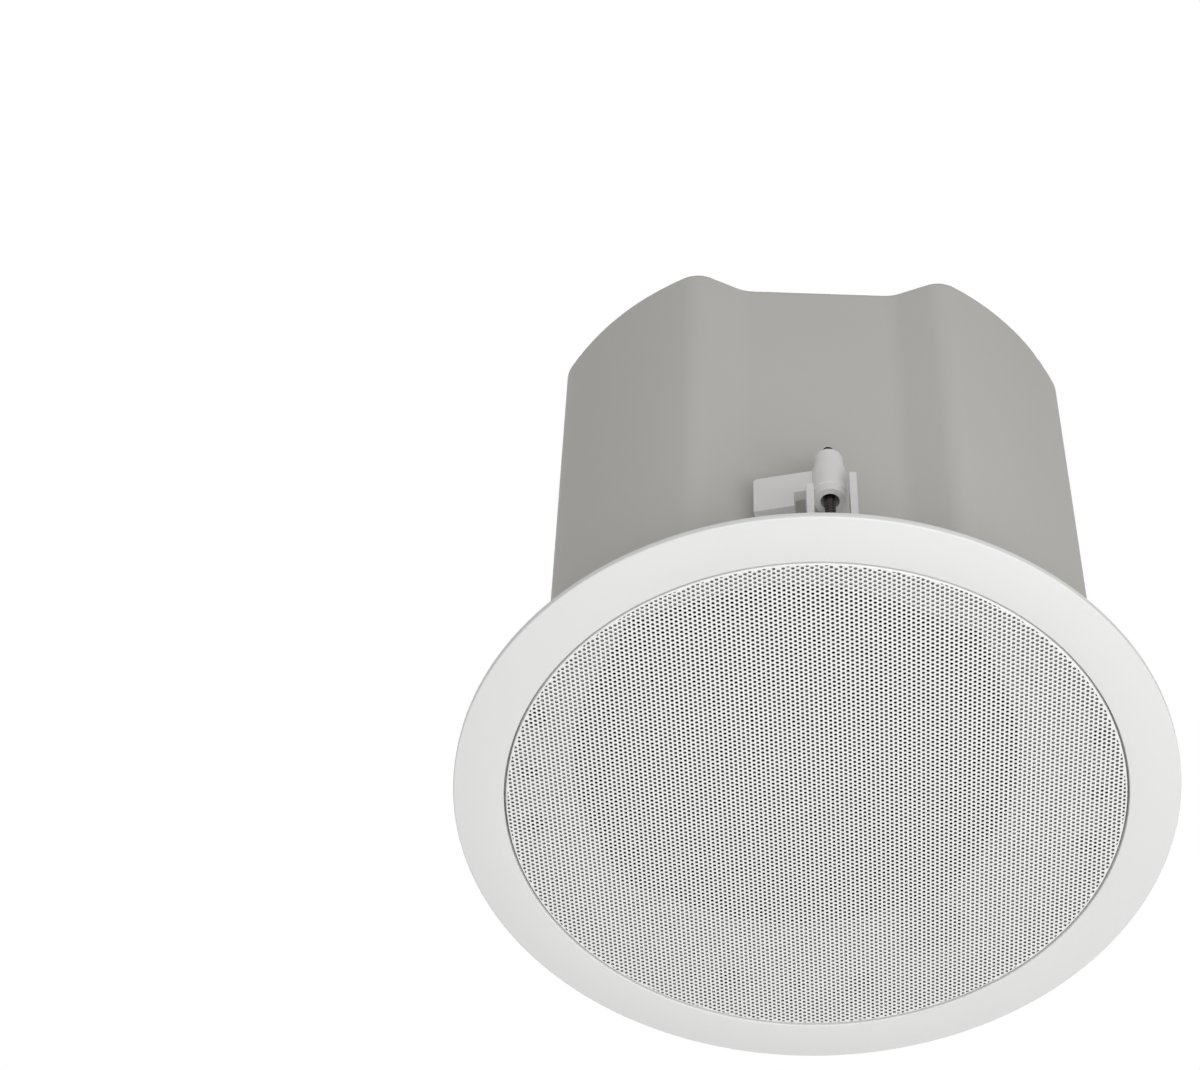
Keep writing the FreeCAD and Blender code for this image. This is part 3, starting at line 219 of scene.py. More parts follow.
def fill_mesh(name, points, face_sets, sharp):
    """A mesh from points (n, 3) and arrays of faces, with edges past the sharp angle hard."""
    mesh = bpy.data.meshes.new(name)
    corners = np.concatenate([faces.ravel() for faces in face_sets]).astype(np.int32)
    sizes = np.concatenate([np.full(len(faces), faces.shape[1]) for faces in face_sets])
    starts = np.concatenate([[0], np.cumsum(sizes)[:-1]]).astype(np.int32)
    mesh.vertices.add(len(points))
    mesh.vertices.foreach_set("co", np.ascontiguousarray(points, np.float32).ravel())
    mesh.loops.add(len(corners))
    mesh.loops.foreach_set("vertex_index", corners)
    mesh.polygons.add(len(sizes))
    mesh.polygons.foreach_set("loop_start", starts)
    mesh.update(calc_edges=True)
    mesh.polygons.foreach_set("use_smooth", np.ones(len(sizes), bool))
    mesh.set_sharp_from_angle(angle=math.radians(sharp))
    return mesh


def placed(name, data):
    """A new object in the scene, at the origin."""
    thing = bpy.data.objects.new(name, data)
    bpy.context.scene.collection.objects.link(thing)
    return thing


def piece(name, shape, sharp, material, body, slot, *nodes):
    """Puts a shape, which is points and face sets, into the scene: it rides a body if one is named,
    takes the given material and stands for CAD nodes. The slot is not used."""
    mesh = fill_mesh(name, *shape, sharp)
    mesh.materials.append(material)
    thing = placed(name, mesh)
    if body:
        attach(thing, body)
    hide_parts(*nodes)
    return thing


def welded(points, faces):
    """Points with equal ones made one, and the face sets left: the whole faces, and the triangles
    left of four-cornered faces that lost one edge. Faces that lost more are dropped."""
    cells = np.round(points / WELD).astype(np.int64)
    _, first, index = np.unique(cells, axis=0, return_index=True, return_inverse=True)
    faces = index.ravel()[faces]
    lost = faces == np.roll(faces, -1, axis=1)
    losses = lost.sum(axis=1)
    sets = [faces[losses == 0]]
    thinned = losses == 1
    if faces.shape[1] == 4 and thinned.any():
        gone = np.argmax(lost[thinned], axis=1)
        kept = (gone[:, None] + 1 + np.arange(3)) % 4
        sets.append(np.take_along_axis(faces[thinned], kept, axis=1))
    return points[first], sets


def node_shape(node):
    """The triangles of a CAD node as shared points and one face set."""
    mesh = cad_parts[node].data
    points = np.empty(len(mesh.vertices) * 3, np.float32)
    mesh.vertices.foreach_get("co", points)
    corners = np.empty(len(mesh.loops), np.int32)
    mesh.loops.foreach_get("vertex_index", corners)
    return welded(points.reshape(-1, 3).astype(float), corners.reshape(-1, 3))


def smooth_copy(name, node, material, body, slot, sharp=MOULDED, reshape=None):
    """A CAD node's own shape with its points joined, moved where reshape says so, and its curved
    faces shaded round."""
    points, sets = node_shape(node)
    if reshape:
        points, sets = welded(reshape(points), sets[0])
    thing = piece(name, (points, sets), sharp, material, body, slot, node)
    evened = thing.modifiers.new("even_normals", "WEIGHTED_NORMAL")
    evened.keep_sharp = True
    evened.mode = "FACE_AREA"


def middle_of(node):
    """The middle of a CAD node's box, seen from above."""
    low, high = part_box(node)
    return (low[0] + high[0]) / 2.0, (low[1] + high[1]) / 2.0


def whole_turn(steps):
    """Angles of equal steps once round."""
    return np.linspace(0.0, 2.0 * np.pi, steps, endpoint=False)


def carried(profile, angles, centre=(0.0, 0.0)):
    """Points of a profile of (radius, height) carried round an upright axis: point (s, t) is
    centre + r(s) (cos t, sin t), at height z(s)."""
    x = centre[0] + profile[:, :1] * np.cos(angles)
    y = centre[1] + profile[:, :1] * np.sin(angles)
    z = np.broadcast_to(profile[:, 1:], x.shape)
    return np.stack([x, y, z], -1).reshape(-1, 3)


def grid_faces(rows, columns, closed_rows, closed_columns):
    """Four-cornered faces of a grid. A closed direction joins its last line to its first."""
    row = np.arange(rows if closed_rows else rows - 1)[:, None]
    column = np.arange(columns if closed_columns else columns - 1)[None, :]
    beside = (column + 1) % columns
    above = (row + 1) % rows
    corners = [row * columns + column, row * columns + beside,
               above * columns + beside, above * columns + column]
    return np.stack(np.broadcast_arrays(*corners), -1).reshape(-1, 4)


def turned(profile, steps):
    """A closed profile of (radius, height) carried the whole way round the axis."""
    points = carried(profile, whole_turn(steps))
    return points, [grid_faces(len(profile), steps, closed_rows=True, closed_columns=True)]


def wedge(profile, centre, start, end, steps):
    """A closed profile of (radius, height) carried along an arc from start to end, with the profile
    itself as a flat cap at both ends."""
    columns = steps + 1
    first = np.arange(len(profile)) * columns
    caps = np.stack([first, (first + steps)[::-1]])
    skin = grid_faces(len(profile), columns, closed_rows=True, closed_columns=False)
    return carried(profile, np.linspace(start, end, columns), centre), [skin, caps]


def arc(middle, radius, start, end, steps):
    """Points of an arc, angles in degrees from the radius axis towards the height axis."""
    angle = np.radians(np.linspace(start, end, steps))
    return np.stack([middle[0] + radius * np.cos(angle), middle[1] + radius * np.sin(angle)], -1)


def copies(shape, places):
    """One shape repeated: its points shifted by each place, its faces numbered on."""
    points, sets = shape
    shifts = np.column_stack([places, np.zeros(len(places))])
    many = (points + shifts[:, None]).reshape(-1, 3)
    step = len(points) * np.arange(len(places))[:, None, None]
    return many, [(faces + step).reshape(-1, faces.shape[1]) for faces in sets]


def lattice_cells(size, edge):
    """A flat round sheet of hexagonal cells on a triangular lattice, each with a hexagonal hole as
    large in area as the round one. Cell corners lie at centre + pitch / sqrt(3) (cos, sin)(60 k),
    hole corners on the same rays. Corners past the edge circle are drawn in to it, holes that cross
    it are cut off a web before it, and cells that would keep less than about three tenths of their
    hole stay plain. Returns the pierced cells, corners before hole corners, their centres, and the
    same of the plain ones."""
    spare = 3
    overhang = size.hole / 6.0
    root = math.sqrt(3.0)
    reach = int(edge / size.pitch * 2.0 / root) + spare
    line = np.arange(-reach, reach + 1)
    column, row = np.meshgrid(line, line, indexing="ij")
    across = column * size.pitch * root / 2.0
    along = (row + 0.5 * (column % 2)) * size.pitch
    c, s = math.cos(size.turn), math.sin(size.turn)
    centres = np.stack([c * across - s * along, s * across + c * along], -1).reshape(-1, 2)
    rays = size.turn + np.radians(60.0) * np.arange(HEX)
    spokes = np.stack([np.cos(rays), np.sin(rays)], -1)
    corners = centres[:, None] + spokes * size.pitch / root
    reached = np.linalg.norm(corners, axis=-1)
    pierced = np.linalg.norm(centres, axis=-1) < edge - size.web + overhang
    plain = ~pierced & (reached.min(axis=1) < edge)
    drawn = corners * np.minimum(1.0, edge / reached)[..., None]
    hole_reach = size.hole / 2.0 * math.sqrt(2.0 * math.pi / (3.0 * root))
    holes = centres[:, None] + spokes * hole_reach
    hole_ends = np.linalg.norm(holes, axis=-1)
    holes = holes * np.minimum(1.0, (edge - size.web) / hole_ends)[..., None]
    cells = np.concatenate([drawn, holes], axis=1)
    return cells[pierced], centres[pierced], drawn[plain], centres[plain]


def sheet_sector(pierced, centres, plain, plain_centres, sector, sectors):
    """One sector of the perforated sheet as flat points and face sets: a ring of six faces for each
    pierced cell, and a fan of two four-cornered faces for each plain one."""
    def inside(places):
        angle = np.arctan2(places[:, 1], places[:, 0]) % (2.0 * np.pi)
        return (angle * sectors / (2.0 * np.pi)).astype(int) == sector

    def numbered(cells, cell_faces):
        step = cells.shape[1] * np.arange(len(cells))
        return (step[:, None, None] + cell_faces).reshape(-1, 4)

    pierced, plain = pierced[inside(centres)], plain[inside(plain_centres)]
    ring = np.arange(HEX)
    after = (ring + 1) % HEX
    ring_faces = np.stack([ring, after, after + HEX, ring + HEX], -1)
    fan = np.array([[0, 1, 2, 3], [0, 3, 4, 5]])
    flat = np.concatenate([pierced.reshape(-1, 2), plain.reshape(-1, 2)])
    faces = np.concatenate([numbered(pierced, ring_faces),
                            numbered(plain, fan) + pierced.size // 2])
    points, sets = welded(np.column_stack([flat, np.zeros(len(flat))]), faces)
    return points[:, :2], sets


def solid_plate(flat_points, flat_sets, low, high):
    """A flat layer of faces made a closed plate: a lower and an upper copy, and a wall on every
    edge that is used once."""
    count = len(flat_points)
    below = np.column_stack([flat_points, np.full(count, low)])
    above = np.column_stack([flat_points, np.full(count, high)])
    edges = np.concatenate([np.stack([faces, np.roll(faces, -1, axis=1)], -1).reshape(-1, 2)
                            for faces in flat_sets])
    key = edges.min(axis=1).astype(np.int64) * count + edges.max(axis=1)
    _, first, uses = np.unique(key, return_index=True, return_counts=True)
    rim = edges[first[uses == 1]]
    walls = np.stack([rim[:, 0], rim[:, 0] + count, rim[:, 1] + count, rim[:, 1]], -1)
    downward = [faces[:, ::-1] for faces in flat_sets]
    upward = [faces + count for faces in flat_sets]
    return np.concatenate([below, above]), downward + upward + [walls[:, ::-1]]


def rim_rows(size, outer, front, top, bend_steps=7, inner_steps=5):
    """Closed profile of the grille's rim: a quarter bend from the sheet's front, an upright wall to
    the top, and the same line a sheet inside it."""
    corner = (outer - size.bend, front + size.bend)
    return np.concatenate([
        arc(corner, size.bend, -90.0, 0.0, bend_steps),
        [[outer, top], [outer - size.sheet, top]],
        arc(corner, max(size.bend - size.sheet, size.inner_bend), 0.0, -90.0, inner_steps),
    ])


def bezel_rows(size, outer, lip, front, curve_steps=9, round_steps=7):
    """Closed profile of the bezel's ring: lip, softly bevelled front, rounded outer edge, flat
    back, and a return that is buried in the neck. The bevel's start is a quadratic curve between
    its two straight neighbours."""
    start = np.array([outer - size.bevel, size.bevel_start])
    before = np.array([lip + size.lip_round, front])
    after = np.array([outer - size.edge_round, size.edge_front])
    near, far = [start + (end - start) * size.soften / np.linalg.norm(end - start)
                 for end in (before, after)]
    step = np.linspace(0.0, 1.0, curve_steps)[:, None]
    soft = (1.0 - step) ** 2 * near + 2.0 * step * (1.0 - step) * start + step ** 2 * far
    buried = size.neck - size.bury
    lip_corner = before + [0.0, size.lip_round]
    edge_corner = after + [0.0, size.edge_round]
    return np.concatenate([
        [[lip, size.bury]],
        arc(lip_corner, size.lip_round, 180.0, 270.0, round_steps),
        soft,
        arc(edge_corner, size.edge_round, -90.0, 0.0, round_steps),
        [[outer, 0.0], [buried, 0.0], [buried, size.bury]],
    ])


def drawn_in(points, size, slack=0.05 * MM):
    """The moulding's points with its flange, which is past the neck or below the back plane, drawn
    in to a circle inside the neck's wall. Each point keeps its angle."""
    reach = np.hypot(points[:, 0], points[:, 1])
    flange = (points[:, 2] < -slack) | (reach > size.neck + 2.0 * slack)
    shrink = np.where(flange, (size.neck - 1.5 * size.bury) / reach, 1.0)
    height = np.where(flange, 0.5 * size.bury, points[:, 2])
    return np.column_stack([points[:, 0] * shrink, points[:, 1] * shrink, height])


def thread_rows(size, bottom, top, rows_per_turn=8):
    """Rows of a threaded stretch: equal steps in height at the thread's outer radius."""
    rows = int((top - bottom) / size.thread_pitch * rows_per_turn)
    return np.stack([np.full(rows, size.shank), np.linspace(bottom, top, rows)], -1)


def cross_depth(x, y, size, side=0.2, end=0.25):
    """Depth of a cross recess at a point of a screw head: full inside either arm, falling off over
    a share of the arm's width at its sides and of its reach at its end."""
    arm = np.minimum(np.abs(x), np.abs(y))
    across = np.clip((size.recess_width / 2.0 - arm) / (size.recess_width * side), 0.0, 1.0)
    reach = size.recess_reach
    along = np.clip((reach - np.hypot(x, y)) / (reach * end), 0.0, 1.0)
    return size.recess_depth * across * along


def head_rows(radius, low, high, crown=0.72, bulge=1.4, most=0.8, face_rows=12, shoulder_rows=6):
    """Rows of a pan head from the middle of its face to its seat: a flat face out to the crown's
    share of the radius, a quarter-round shoulder, bulge times as high as wide but at most a share
    of the head's height, and a side."""
    face = np.linspace(0.0, radius * crown, face_rows)
    flat = np.stack([face, np.full(face_rows, low)], -1)
    span = (1.0 - crown) * radius
    rise = min(span * bulge, (high - low) * most)
    angle = np.radians(np.linspace(0.0, 90.0, shoulder_rows + 1)[1:])
    shoulder = [radius * crown + span * np.sin(angle), low + rise * (1.0 - np.cos(angle))]
    return np.concatenate([flat, np.stack(shoulder, -1), [[radius, high]]])


def screw_shape(rows, steps, centre, size, thread=None, face_band=0.2 * MM):
    """A turned screw whose first row is the middle of its head's face, with a cross recess in that
    face and, from thread[0] to thread[1], a thread whose radius is
    r - depth |2 frac(z / pitch - t / 2 pi) - 1|, a ridge that climbs one pitch in each turn."""
    angle = whole_turn(steps)
    radius = np.repeat(rows[:, :1], steps, axis=1)
    height = np.repeat(rows[:, 1:], steps, axis=1)
    if thread:
        climb = height / size.thread_pitch - angle / (2.0 * np.pi)
        ridge = np.abs(2.0 * (climb % 1.0) - 1.0)
        threaded = (height > thread[0]) & (height < thread[1])
        radius = radius - np.where(threaded, size.thread_depth * ridge, 0.0)
    x, y = radius * np.cos(angle), radius * np.sin(angle)
    on_face = height < rows[0, 1] + face_band
    height = height + np.where(on_face, cross_depth(x, y, size), 0.0)
    points = np.stack([centre[0] + x, centre[1] + y, height], -1).reshape(-1, 3)
    return welded(points, grid_faces(len(rows), steps, closed_rows=False, closed_columns=True))


def surround_rows(size, outer, face, steps=17):
    """Closed profile of the half roll: a flat inner land, an arc that bulges to the front, a flat
    outer land, and the same line a skin behind it."""
    def bulge(half, curve, level):
        rise = math.sqrt(curve ** 2 - half ** 2)
        lean = math.degrees(math.asin(rise / curve))
        return arc((size.roll, level + rise), curve, 180.0 + lean, 360.0 - lean, steps)

    lip = face - size.skin
    front = bulge(size.roll_half, size.roll_curve, lip)
    back = bulge(size.roll_half - size.skin, size.roll_curve - size.skin, face)[::-1]
    return np.concatenate([[[size.land, lip]], front, [[outer, lip], [outer, face]], back,
                           [[size.land, face]]])


def spider_rows(size, outer, low, steps_per_wave=12):
    """Closed profile of the corrugated spider: height low + wave / 2 (1 - cos) with whole waves
    from hole to rim, and the same line a skin above it."""
    reach = np.linspace(size.hole, outer, steps_per_wave * size.waves + 1)
    turn = 2.0 * np.pi * size.waves * (reach - size.hole) / (outer - size.hole)
    height = low + size.wave / 2.0 * (1.0 - np.cos(turn))
    under = np.stack([reach, height], -1)
    over = np.stack([reach, height + size.skin], -1)
    return np.concatenate([under, over[::-1]])


def bent_ring(name, rows, sectors, material, slot, node):
    """A flexible ring round the driver's axis in closed sectors, each a wedge of the profile made
    as a piece of its own with its place baked into its points."""
    centre = middle_of("woofer_cone")
    half = math.pi / sectors
    for sector in range(sectors):
        middle = (2 * sector + 1) * half
        shape = wedge(rows, centre, middle - half, middle + half, settings().suspension.steps)
        thing = piece("%s_%d" % (name, sector + 1), shape, FLEXIBLE, material, None, slot, node)
        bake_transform(thing)


class Nodes:
    """A small hand for building node trees: adds shader nodes, whose kind is given without its
    ShaderNode prefix, sets their inputs and links them."""

    def __init__(self, tree):
        self.tree = tree

    def feed(self, node, inputs):
        for name, value in inputs.items():
            if isinstance(value, bpy.types.NodeSocket):
                self.tree.links.new(value, node.inputs[name])
            else:
                node.inputs[name].default_value = value

    def add(self, kind, inputs=None, **fields):
        node = self.tree.nodes.new("ShaderNode" + kind)
        for name, value in fields.items():
            setattr(node, name, value)
        self.feed(node, inputs or {})
        return node


def new_effect(name, sizes):
    """An empty effect group: a vector and the named sizes go in, a height and a tone come out.
    Returns a hand for it and the sockets of what goes in."""
    tree = bpy.data.node_groups.new(name, "ShaderNodeTree")
    sockets = tree.interface
    sockets.new_socket("Vector", in_out="INPUT", socket_type="NodeSocketVector")
    for label, default in sizes.items():
        size = sockets.new_socket(label, in_out="INPUT", socket_type="NodeSocketFloat")
        size.default_value = default
    for label in ("Height", "Tone"):
        sockets.new_socket(label, in_out="OUTPUT", socket_type="NodeSocketFloat")
    return Nodes(tree), tree.nodes.new("NodeGroupInput").outputs


def put_out(hand, height, tone):
    """An effect group with its height and tone put out."""
    hand.feed(hand.tree.nodes.new("NodeGroupOutput"), {"Height": height, "Tone": tone})
    return hand.tree


def surface_grain():
    """Grain of a coated or moulded surface: a fine noise for height, and a broad one for tone."""
    hand, given = new_effect("surface_grain", {"Scale": 900.0, "Broad": 9.0})
    fine = hand.add("TexNoise", {
        "Vector": given["Vector"], "Scale": given["Scale"], "Detail": 3.0, "Roughness": 0.6})
    broad = hand.add("TexNoise", {
        "Vector": given["Vector"], "Scale": given["Broad"], "Detail": 4.0, "Roughness": 0.55})
    tone = hand.add("MapRange", {"Value": broad.outputs["Fac"], "From Min": 0.3, "From Max": 0.7})
    return put_out(hand, fine.outputs["Fac"], tone.outputs["Result"])


def plain_weave():
    """Plain weave of cloth and paper felt: the mean of two crossed bands, with a fleck for tone."""
    hand, given = new_effect("plain_weave", {"Scale": 700.0})
    warp, weft = [hand.add("TexWave", {
        "Vector": given["Vector"], "Scale": given["Scale"], "Distortion": 1.2, "Detail": 1.0,
    }, wave_type="BANDS", bands_direction=axis).outputs["Fac"] for axis in ("X", "Y")]
    both = hand.add("Math", {0: warp, 1: weft}, operation="ADD")
    mean = hand.add("Math", {0: both.outputs["Value"], 1: 0.5}, operation="MULTIPLY")
    fleck = hand.add("TexNoise", {"Vector": given["Vector"], "Scale": 60.0, "Detail": 5.0})
    return put_out(hand, mean.outputs["Value"], fleck.outputs["Fac"])


def upright_rings():
    """Rings about an upright axis, with a fleck for tone: turning marks on metal, turns of wire."""
    hand, given = new_effect("upright_rings", {"Scale": 300.0, "Wander": 0.6})
    wave = hand.add("TexWave", {
        "Vector": given["Vector"], "Scale": given["Scale"], "Distortion": given["Wander"],
        "Detail": 2.0,
    }, wave_type="RINGS", rings_direction="Z")
    fleck = hand.add("TexNoise", {"Vector": given["Vector"], "Scale": 45.0, "Detail": 4.0})
    return put_out(hand, wave.outputs["Fac"], fleck.outputs["Fac"])


class Finish(NamedTuple):
    """One finish: its tint and roughness, the effect that shifts colour by tone and roughness by
    spread and drives the bump, the effect's sizes unless its own serve, what the shader keeps the
    same all over, the node whose middle centres the pattern, and a tint of painted shade in
    recesses that shows from one height above a node's lowest face, fully from another."""
    tint: str
    rough: float
    effect: callable = surface_grain
    tone: float = 0.05
    spread: float = 0.06
    bump: float = 0.08
    scale: float = None
    broad: float = None
    metallic: float = 0.0
    specular: float = 0.5
    centre: str = None
    # Painted shade for recesses: its tint, the node, and the heights where it starts and is full.
    under: tuple = None


WHITE = Finish("white", 0.42, tone=0.012, spread=0.04, bump=0.10, scale=1300.0, broad=7.0)
POWDER = Finish("grille", 0.45, tone=0.01, spread=0.04, bump=0.05, scale=1500.0, broad=8.0)
FINISHES = {
    "white_moulding": WHITE,
    # Painted shade in the selector's slot and round the knob, from 0.3 mm above its lowest face,
    # fully from 1 mm.
    "selector_dial": WHITE._replace(under=("slot", "selector_knob", 0.3 * MM, 1.0 * MM)),
    "can_paint": Finish(
        "can", 0.60, tone=0.02, spread=0.05, bump=0.12, scale=1100.0, broad=6.0, specular=0.10),
    "grille_coat": POWDER,
    # Painted shade in the holes: the hole walls and the sheet's back go dark from 0.1 mm behind the
    # front face, fully from 0.5 mm.
    "grille_coat_hole_shade": POWDER._replace(under=("primer", "grille", 0.1 * MM, 0.5 * MM)),
    "clamp_nylon": Finish(
        "clamp", 0.46, tone=0.02, spread=0.05, bump=0.12, scale=1400.0, broad=30.0),
    "black_steel": Finish(
        "steel", 0.30, tone=0.25, spread=0.08, scale=1600.0, broad=90.0, metallic=0.9),
    "nut_brass": Finish("brass", 0.34, upright_rings, tone=0.06, bump=0.05, metallic=1.0),
    "frame_paint": Finish(
        "black", 0.26, tone=0.2, spread=0.08, bump=0.10, scale=900.0, broad=25.0, specular=0.40),
    "screw_black": Finish(
        "black", 0.28, tone=0.3, bump=0.05, scale=1500.0, broad=150.0, metallic=0.6),
    "gasket_felt": Finish(
        "felt", 0.85, plain_weave, tone=0.25, bump=0.3, scale=500.0, specular=0.25),
    "cone_paper": Finish(
        "cone", 0.66, plain_weave, tone=0.35, bump=0.35, scale=420.0, specular=0.18,
        centre="woofer_cone"),
    "tweeter_plastic": Finish(
        "horn", 0.34, tone=0.12, bump=0.05, scale=1300.0, broad=40.0, specular=0.30,
        centre="woofer_cone"),
    "dome_silk": Finish(
        "dome", 0.36, plain_weave, tone=0.2, bump=0.15, scale=1200.0, specular=0.45,
        centre="woofer_cone"),
    "former_paper": Finish("former", 0.45, tone=0.15),
    "surround_rubber": Finish(
        "rubber", 0.40, tone=0.15, spread=0.08, bump=0.06, scale=1500.0, broad=25.0,
        specular=0.35, centre="woofer_cone"),
    "spider_cloth": Finish(
        "spider", 0.85, plain_weave, tone=0.12, bump=0.5, scale=600.0, centre="woofer_cone"),
    "ferrite": Finish(
        "ferrite", 0.7, tone=0.25, bump=0.3, scale=700.0, broad=120.0, centre="magnet_ring"),
    "motor_plate": Finish(
        "zinc", 0.34, upright_rings, tone=0.06, bump=0.04, metallic=1.0, centre="magnet_ring"),
    "enamelled_wire": Finish(
        "copper", 0.32, upright_rings, tone=0.12, bump=0.5, scale=500.0, metallic=0.85),
    "board_laminate": Finish("board", 0.38, tone=0.15, bump=0.05, scale=600.0, broad=80.0),
    "black_moulding": Finish("moulding", 0.48, tone=0.15, bump=0.1),
    "port_plastic": Finish("port", 0.5, tone=0.04, bump=0.1),
    "zinc_plate": Finish(
        "zinc", 0.38, tone=0.10, spread=0.10, bump=0.06, scale=400.0, broad=55.0, metallic=1.0),
    "pale_floor": Finish("floor", 0.7, tone=0.01, bump=0.02, scale=40.0, broad=1.5),
}
BUMP_DEPTH = 0.1 * MM


def finish(name):
    """The procedural material of one row of FINISHES, on Object coordinates."""
    row, tints = FINISHES[name], settings().finishes
    material = bpy.data.materials.new(name)
    material.use_nodes = True
    hand = Nodes(material.node_tree)
    object_place = hand.add("TexCoord").outputs["Object"]
    x, y = middle_of(row.centre) if row.centre else (0.0, 0.0)
    centred = hand.add("Mapping", {"Vector": object_place, "Location": (-x, -y, 0.0)})
    group = bpy.data.node_groups.get(row.effect.__name__) or row.effect()
    sizes = {"Scale": row.scale, "Broad": row.broad}
    pattern = hand.add("Group", {
        "Vector": centred.outputs["Vector"],
        **{label: size for label, size in sizes.items() if size is not None},
    }, node_tree=group)
    tone = pattern.outputs["Tone"]
    base = np.array(getattr(tints, row.tint))
    dark, light = [(*np.clip(base * (1.0 + way * row.tone), 0.0, 1.0), 1.0) for way in (-1, 1)]
    hue = hand.add("Mix", {"Factor": tone, "A": dark, "B": light}, data_type="RGBA")
    gloss = hand.add("MapRange", {
        "Value": tone, "To Min": row.rough - row.spread, "To Max": row.rough + row.spread})
    relief = hand.add("Bump", {
        "Height": pattern.outputs["Height"], "Strength": row.bump, "Distance": BUMP_DEPTH})
    shown = hue.outputs["Result"]
    # Painted shade: recesses darken to a tint from a height above the node's lowest face.
    if row.under:
        shown = bared(hand, object_place, shown, *row.under)
    hand.feed(material.node_tree.nodes["Principled BSDF"], {
        "Base Color": shown, "Roughness": gloss.outputs["Result"],
        "Normal": relief.outputs["Normal"], "Metallic": row.metallic,
        "Specular IOR Level": row.specular,
    })
    return material


def bared(hand, object_place, coat, tint, node, start, end):
    """A coat's colour that gives way to painted shade, a tint from start to end above a node's
    lowest face.
    """
    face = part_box(node)[0][2]
    height = hand.add("SeparateXYZ", {"Vector": object_place}).outputs["Z"]
    shade_share = hand.add("MapRange", {"Value": height, "From Min": face + start, "From Max": face + end})
    shade_tint = (*getattr(settings().finishes, tint), 1.0)
    mixed = hand.add("Mix", {"Factor": shade_share.outputs["Result"], "A": coat, "B": shade_tint},
                     data_type="RGBA")
    return mixed.outputs["Result"]


def dress(material, *nodes):
    """Gives CAD nodes, which keep their shape, a better material."""
    for node in nodes:
        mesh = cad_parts[node].data
        mesh.materials.clear()
        mesh.materials.append(material)


class SPEAKER_OT_housing(bpy.types.Operator):
    """Bezel with baffle, back can and tap selector, shaded round and coated"""
    bl_idname = "speaker.housing"
    bl_label = "Bezel and can"

    def execute(self, context):
        size = settings().bezel
        white = finish("white_moulding")
        low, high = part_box("bezel_baffle")
        rows = bezel_rows(size, high[0], GRILLE_HIGH[0] + size.grille_gap, low[2])
        piece("bezel_ring", turned(rows, size.steps), TURNED, white, "housing", "white_moulding",
              "bezel_baffle")
        smooth_copy("baffle", "bezel_baffle", white, "housing", "white_moulding",
                    reshape=lambda points: drawn_in(points, size))
        smooth_copy("can", "back_can", finish("can_paint"), "housing", "can_grey")
        # The dial's finish paints shade into its slot and round the knob.
        smooth_copy("selector", "selector_knob", finish("selector_dial"), "selector",
                    "white_moulding")
        return {"FINISHED"}


class SPEAKER_OT_grille(bpy.types.Operator):
    """Perforated sheet of the grille in sectors, with its turned-up rim"""
    bl_idname = "speaker.grille"
    bl_label = "Grille"

    def execute(self, context):
        size = settings().grille
        outer, front, top = GRILLE_HIGH[0], GRILLE_LOW[2], GRILLE_HIGH[2]
        # The sheet's coat paints shade into its holes and onto its back; the rim keeps the plain
        # coat.
        coat, hole_shaded = finish("grille_coat"), finish("grille_coat_hole_shade")
        cells = lattice_cells(size, outer - size.bend)
        for sector in range(size.sectors):
            flat, sets = sheet_sector(*cells, sector, size.sectors)
            shape = solid_plate(flat, sets, front, front + size.sheet)
            piece("grille_sheet_%d" % (sector + 1), shape, TURNED, hole_shaded, "grille",
                  "grille_white", "grille")
        rim = turned(rim_rows(size, outer, front, top), size.steps)
        piece("grille_rim", rim, ROUNDED, coat, "grille", "grille_white", "grille")
        return {"FINISHED"}


class SPEAKER_OT_clamps(bpy.types.Operator):
    """Clamp arms with their hubs, brass nuts, and the long threaded screws with cross recesses"""
    bl_idname = "speaker.clamps"
    bl_label = "Clamps"

    def execute(self, context):
        size = settings().screws
        nylon, steel, brass = finish("clamp_nylon"), finish("black_steel"), finish("nut_brass")
        for index in CLAMPS:
            arm, screw = "arm_%d" % index, "screw_%d" % index
            smooth_copy(arm, "clamp_arm_%d" % index, nylon, arm, "clamp_white")
            dress(brass, "clamp_nut_%d" % index)
            node = "clamp_screw_%d" % index
            low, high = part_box(node)
            seat = low[2] + size.head_rise
            ring = seat + size.grip
            shoulder = ring + size.collar_rise
            start, end = shoulder + size.run, high[2] - size.tip
            rows = np.concatenate([
                head_rows((high[0] - low[0]) / 2.0, low[2], seat),
                [[size.shank, seat], [size.shank, ring], [size.collar, ring],
                 [size.collar, shoulder], [size.shank, shoulder]],
                thread_rows(size, start, end),
                [[size.shank * size.tip_share, high[2]], [0.0, high[2]]],
            ])
            shape = screw_shape(rows, size.steps, middle_of(node), size,
                                (start + size.run, end - size.run))
            piece(screw, shape, MACHINED, steel, screw, "black_steel", node)
        dress(steel, "can_bolts")
        return {"FINISHED"}


